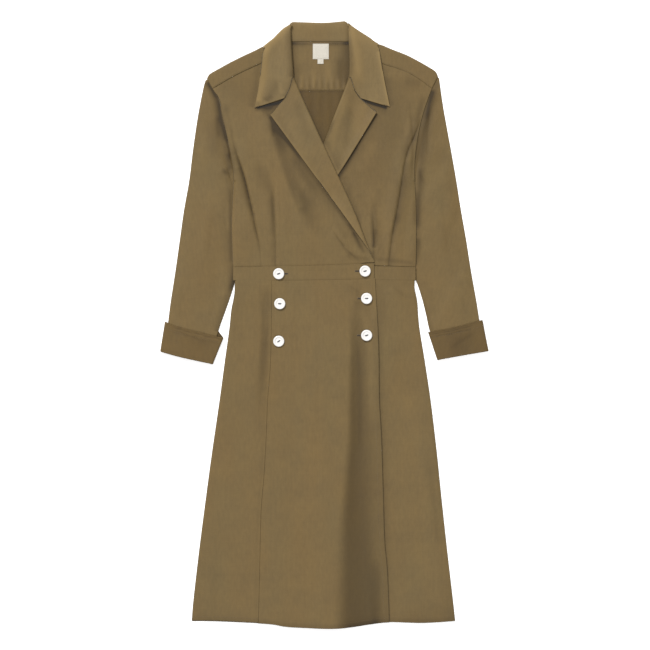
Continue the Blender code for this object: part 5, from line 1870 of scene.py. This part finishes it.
def make_buttonholes():
    """Worked buttonholes: a bound loop with a dark slit of painted shadow, mostly under their
    buttons.
    """
    for node, reach in BUTTONHOLES.items():
        x, y, _ = button_seat(node)
        far = x + reach
        low, high = sorted((far, far - math.copysign(HOLE_LENGTH, reach)))
        loop = slot_loop(low, high, y, HOLE_ROUND)
        step = np.roll(loop, -1, axis=0) - np.roll(loop, 1, axis=0)
        square = np.column_stack([-step[:, 1], step[:, 0]]) / np.hypot(*step.T)[:, None]
        z = top_of_cloth(*loop.T)
        ring = np.stack([
            np.column_stack([loop + square * 0.5 * math.cos(a), z + 0.42 * math.sin(a)])
            for a in np.linspace(0, TURN, 8, endpoint=False)], axis=1)
        outward_mesh(f"{node}_hole_binding", ring.reshape(-1, 3),
                     ring_faces(*ring.shape[:2], closed=True), "thread")
        xs = np.linspace(low - 0.6, high + 0.6, 12)
        top = top_of_cloth(xs, np.full(12, y))
        grid = np.stack([np.column_stack([xs, np.full(12, y + by), top + up])
                         for by, up in ((1, 0.14), (-1, 0.14), (-1, -0.5), (1, -0.5))], axis=1)
        faces = [*[face[::-1] for face in ring_faces(12, 4)], (0, 1, 2, 3), (47, 46, 45, 44)]
        outward_mesh(f"{node}_hole_slit", grid.reshape(-1, 3), faces, "slit")


def tape(node, height, wall, swell):
    """A small piece of woven tape, a little cushioned between its stitched edges. Returns it with
    the corners of its solid."""
    low, high = (np.array(corner)[:2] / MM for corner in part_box(node))
    u, v = (steps_over(span, 1.2, close=(0.35,)) for span in high - low)
    x, y = np.broadcast_arrays(between(low[0], high[0], u[None, :]),
                               between(high[1], low[1], v[:, None]))
    edge = np.minimum(np.minimum(x - low[0], high[0] - x), np.minimum(y - low[1], high[1] - y))
    z = height(x, y) + swell * ramp(edge, 0.5, 4)
    cloth = Cloth()
    cloth.add(np.dstack([x, y, z + wall / 2]), wall)
    made = add_mesh(f"{node}_tape", *cloth.thicken()[:2])
    made.data.materials.append(finish_named("label"))
    return made, low, high


def make_labels():
    """The size tab, and the neck label with the stitches round it."""
    wall = 0.6

    def on_yoke(x, y):
        return yoke_back(x, y) + mm(sizes().cloth_wall) + 0.1

    tab, _, _ = tape("size_tab", lambda x, y: on_yoke(x, y) + 0.25 * ramp(504 - y, 0, 8), wall, 0.1)
    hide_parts("size_tab")
    label, low, high = tape("neck_label", on_yoke, wall, 0.35)
    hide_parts("neck_label")
    (x_a, y_a), (x_b, y_b) = low + 1.3, high - 1.3
    corners = [(x_a, y_b), (x_b, y_b), (x_b, y_a), (x_a, y_a), (x_a, y_b)]
    rows = []
    for ends in zip(corners, corners[1:]):
        line = np.linspace(*ends, 16)
        rows.append(np.column_stack([line, on_yoke(*line.T) + wall + 0.12]))
    stitches = sew("neck_label_stitches", rows, "label_thread", 0.0016, 0.00035)


# ---- stage ------------------------------------------------------------------------------------

def floor_finish(name, colour):
    """A plain pale floor with the faintest grain, which glows a little."""
    material, shader, term = start_finish(name)
    cloud = term.make("ShaderNodeTexCoord", output=3).noise(1.5, 2.0)
    body = (0.5 + cloud * 0.3).clamped().mixed(scaled(colour, 0.99), scaled(colour, 1.0))
    feed(shader, Base_Color=body, Roughness=0.95, Specular_IOR_Level=0.1,
         Emission_Color=(1, 1, 1, 1), Emission_Strength=0.42)
    return material


def add_light(name, place, aim, width, power):
    data = bpy.data.lights.new(name, "AREA")
    data.shape, data.size, data.energy = "DISK", width, power
    light = new_object(name, data)
    light.location = place
    light.rotation_mode = "QUATERNION"
    light.rotation_quaternion = (Vector(aim) - Vector(place)).to_track_quat("-Z", "Y")
    light.visible_camera = False


def make_stage():
    """A plain floor, even light with two soft lamps, and a camera straight above."""
    low, high = CAD_BOX
    half, z = 14.0, low.z - 0.0002
    mesh = bpy.data.meshes.new("floor")
    mesh.from_pydata([(-half, -half, z), (half, -half, z), (half, half, z), (-half, half, z)], [],
                     [(0, 1, 2, 3)])
    mesh.materials.append(finish_named("floor"))
    new_object("floor", mesh)
    stage = bpy.context.scene.dress_stage
    world = bpy.data.worlds.new("studio")
    world.use_nodes = True
    sky = world.node_tree.nodes["Background"]
    sky.inputs["Color"].default_value = (1, 1, 1, 1)
    sky.inputs["Strength"].default_value = stage.fill
    bpy.context.scene.world = world
    add_light("key", (-2.4, 5.0, 5.0), (0, 0, 0), 2.3, stage.key)
    add_light("top", (0.4, -1.7, 3.6), (0, -0.3, 0), 2.0, stage.top)
    bpy.context.scene.view_settings.view_transform = "Standard"
    data = bpy.data.cameras.new("camera")
    data.lens, data.sensor_width, data.clip_end = 120, 36, 60
    camera = new_object("camera", data)
    field = 1.235
    middle = Vector(((low.x + high.x) / 2 + 0.0012, (low.y + high.y) / 2 - 0.0011, 0.004))
    camera.location = middle + Vector((0, 0, field * data.lens / data.sensor_width))
    bpy.context.scene.camera = camera


# ---- add-on -----------------------------------------------------------------------------------

def measure(name, description, default):
    return bpy.props.FloatProperty(name=name, description=description, default=default,
                                   precision=5, unit="LENGTH", subtype="DISTANCE")


class DressSizes(bpy.types.PropertyGroup):
    """Sizes of the dress's cloth and stitching."""
    cloth_wall: measure("Cloth", "Thickness of one layer of cloth", 0.0009)
    band_wall: measure("Bands", "Thickness of the collar, lapels, waistbands and cuffs", 0.0012)
    mesh_step: measure("Mesh step", "Distance between places on the cloth", 0.0034)
    lapel_roll: measure("Lapel roll", "How high the lapels stand along their roll lines", 0.0032)
    skirt_fold: measure("Skirt fold", "How high the skirt's deep fold stands at the hem", 0.011)
    wave: measure("Waves", "Height of the slow waves of the upper layers", 0.0014)
    stitch_length: measure("Stitch", "Length of one stitch", 0.0024)
    thread_width: measure("Thread", "Thickness of the sewing thread", 0.00045)


def colour_choice(name, description, default):
    return bpy.props.FloatVectorProperty(name=name, description=description, default=default,
                                         subtype="COLOR", size=3, min=0, max=1)


class DressColours(bpy.types.PropertyGroup):
    """Colours of the dress."""
    cloth: colour_choice("Cloth", "The outer cloth", (0.143, 0.0930, 0.0316))
    # The lapels and collar are lighter copies of the cloth: painted sheen, where the twill's grain
    # runs another way.
    facing: colour_choice("Facing", "The lapels", (0.146, 0.0958, 0.0338))
    collar: colour_choice("Collar", "The collar", (0.160, 0.1070, 0.0398))
    # Darker than the cloth: partly its duller wrong side, partly painted shade, as the inside lies
    # deep under the other layers.
    inside: colour_choice("Inside", "The cloth inside the dress", (0.090, 0.0536, 0.0120))
    cuff: colour_choice("Cuffs", "The cloth that the cuffs turn out", (0.118, 0.0720, 0.0202))
    thread: colour_choice("Thread", "The sewing thread", (0.125, 0.083, 0.036))
    button_thread: colour_choice("Button thread", "The thread that holds the buttons",
                                 (0.05, 0.052, 0.062))
    # The slits are dark sheets of painted shadow, standing for the shade inside the cut.
    slit: colour_choice("Slits", "The dark inside of the buttonholes", (0.018, 0.012, 0.006))
    pearl: colour_choice("Buttons", "The pearl of the buttons", (0.44, 0.435, 0.425))
    label: colour_choice("Label", "The woven label", (0.56, 0.52, 0.44))
    floor: colour_choice("Floor", "The floor that the dress lies on", (0.93, 0.93, 0.93))


class DressStage(bpy.types.PropertyGroup):
    """The light that the dress is shown in."""
    fill: bpy.props.FloatProperty(name="Fill", description="Even light from all round",
                                  default=0.42, min=0)
    key: bpy.props.FloatProperty(name="Key", description="Power of the soft light above the collar",
                                 default=532, min=0, unit="POWER")
    top: bpy.props.FloatProperty(name="Top", description="Power of the wide light overhead",
                                 default=53, min=0, unit="POWER")


class DRESS_OT_back(bpy.types.Operator):
    """Makes the back bodice and the yoke"""
    bl_idname = "dress.back"
    bl_label = "Back and yoke"

    def execute(self, context):
        make_back_bodice()
        make_yoke()
        return {"FINISHED"}


class DRESS_OT_fronts(bpy.types.Operator):
    """Makes the two front bodices with their tucks"""
    bl_idname = "dress.fronts"
    bl_label = "Fronts"

    def execute(self, context):
        make_fronts()
        return {"FINISHED"}


class DRESS_OT_lapels(bpy.types.Operator):
    """Makes the two lapels and their rolls"""
    bl_idname = "dress.lapels"
    bl_label = "Lapels"

    def execute(self, context):
        make_lapel("right_lapel", RIGHT_GORGE, RIGHT_LAPEL_EDGE, RIGHT_ROLL, right_lapel,
                   right_front, 1)
        make_lapel("left_lapel", LEFT_GORGE, LEFT_LAPEL_EDGE, LEFT_ROLL, left_lapel, left_front, -1)
        return {"FINISHED"}


class DRESS_OT_collar(bpy.types.Operator):
    """Makes the collar: its wings, stand and fall"""
    bl_idname = "dress.collar"
    bl_label = "Collar"

    def execute(self, context):
        make_collar()
        return {"FINISHED"}


class DRESS_OT_sleeves(bpy.types.Operator):
    """Makes the two sleeves"""
    bl_idname = "dress.sleeves"
    bl_label = "Sleeves"

    def execute(self, context):
        make_sleeve("right", RIGHT_ARMHOLE, RIGHT_SLEEVE_OUTER, RIGHT_SLEEVE_INNER, right_front, 31)
        make_sleeve("left", LEFT_ARMHOLE, LEFT_SLEEVE_OUTER, LEFT_SLEEVE_INNER, left_front, 37)
        return {"FINISHED"}


class DRESS_OT_cuffs(bpy.types.Operator):
    """Makes the two turned-back cuffs and their stitching"""
    bl_idname = "dress.cuffs"
    bl_label = "Cuffs"

    def execute(self, context):
        make_cuff("right", RIGHT_CUFF)
        make_cuff("left", LEFT_CUFF)
        return {"FINISHED"}


class DRESS_OT_waistbands(bpy.types.Operator):
    """Makes the three parts of the waistband"""
    bl_idname = "dress.waistbands"
    bl_label = "Waistbands"

    def execute(self, context):
        make_bands()
        return {"FINISHED"}


class DRESS_OT_skirt(bpy.types.Operator):
    """Makes the four panels of the skirt, with their hems and stitching"""
    bl_idname = "dress.skirt"
    bl_label = "Skirt"

    def execute(self, context):
        make_skirt()
        return {"FINISHED"}


class DRESS_OT_buttons(bpy.types.Operator):
    """Makes the six buttons, with the thread that holds them"""
    bl_idname = "dress.buttons"
    bl_label = "Buttons"

    def execute(self, context):
        make_buttons()
        return {"FINISHED"}


class DRESS_OT_buttonholes(bpy.types.Operator):
    """Works the buttonholes that show beside their buttons"""
    bl_idname = "dress.buttonholes"
    bl_label = "Buttonholes"

    def execute(self, context):
        make_buttonholes()
        return {"FINISHED"}


class DRESS_OT_labels(bpy.types.Operator):
    """Makes the bare neck label and size tab"""
    bl_idname = "dress.labels"
    bl_label = "Labels"

    def execute(self, context):
        make_labels()
        return {"FINISHED"}


class DRESS_OT_stage(bpy.types.Operator):
    """Sets up the floor, the lights and the camera"""
    bl_idname = "dress.stage"
    bl_label = "Stage"

    def execute(self, context):
        make_stage()
        return {"FINISHED"}


PARTS = (DRESS_OT_stage, DRESS_OT_back, DRESS_OT_fronts, DRESS_OT_lapels, DRESS_OT_collar,
         DRESS_OT_sleeves, DRESS_OT_cuffs, DRESS_OT_waistbands, DRESS_OT_skirt, DRESS_OT_buttons,
         DRESS_OT_buttonholes, DRESS_OT_labels)


class DRESS_PT_panel(bpy.types.Panel):
    """Lists the dress's sizes, colours and parts"""
    bl_idname = "DRESS_PT_panel"
    bl_label = "Wrap dress"
    bl_space_type = "VIEW_3D"
    bl_region_type = "UI"
    bl_category = "Dress"

    def draw(self, context):
        for group in (context.scene.dress_sizes, context.scene.dress_colours,
                      context.scene.dress_stage):
            box = self.layout.box()
            for key in group.bl_rna.properties.keys():
                if key not in ("rna_type", "name"):
                    box.prop(group, key)
        for part in PARTS:
            self.layout.operator(part.bl_idname)


GROUPS = {"dress_sizes": DressSizes, "dress_colours": DressColours, "dress_stage": DressStage}
CLASSES = (*GROUPS.values(), *PARTS, DRESS_PT_panel)


def register():
    for item in CLASSES:
        bpy.utils.register_class(item)
    for name, group in GROUPS.items():
        setattr(bpy.types.Scene, name, bpy.props.PointerProperty(type=group))


def unregister():
    for name in GROUPS:
        delattr(bpy.types.Scene, name)
    for item in reversed(CLASSES):
        bpy.utils.unregister_class(item)


def main():
    register()
    for part in PARTS:
        area, name = part.bl_idname.split(".")
        getattr(getattr(bpy.ops, area), name)()


if __name__ == "__main__":
    main()
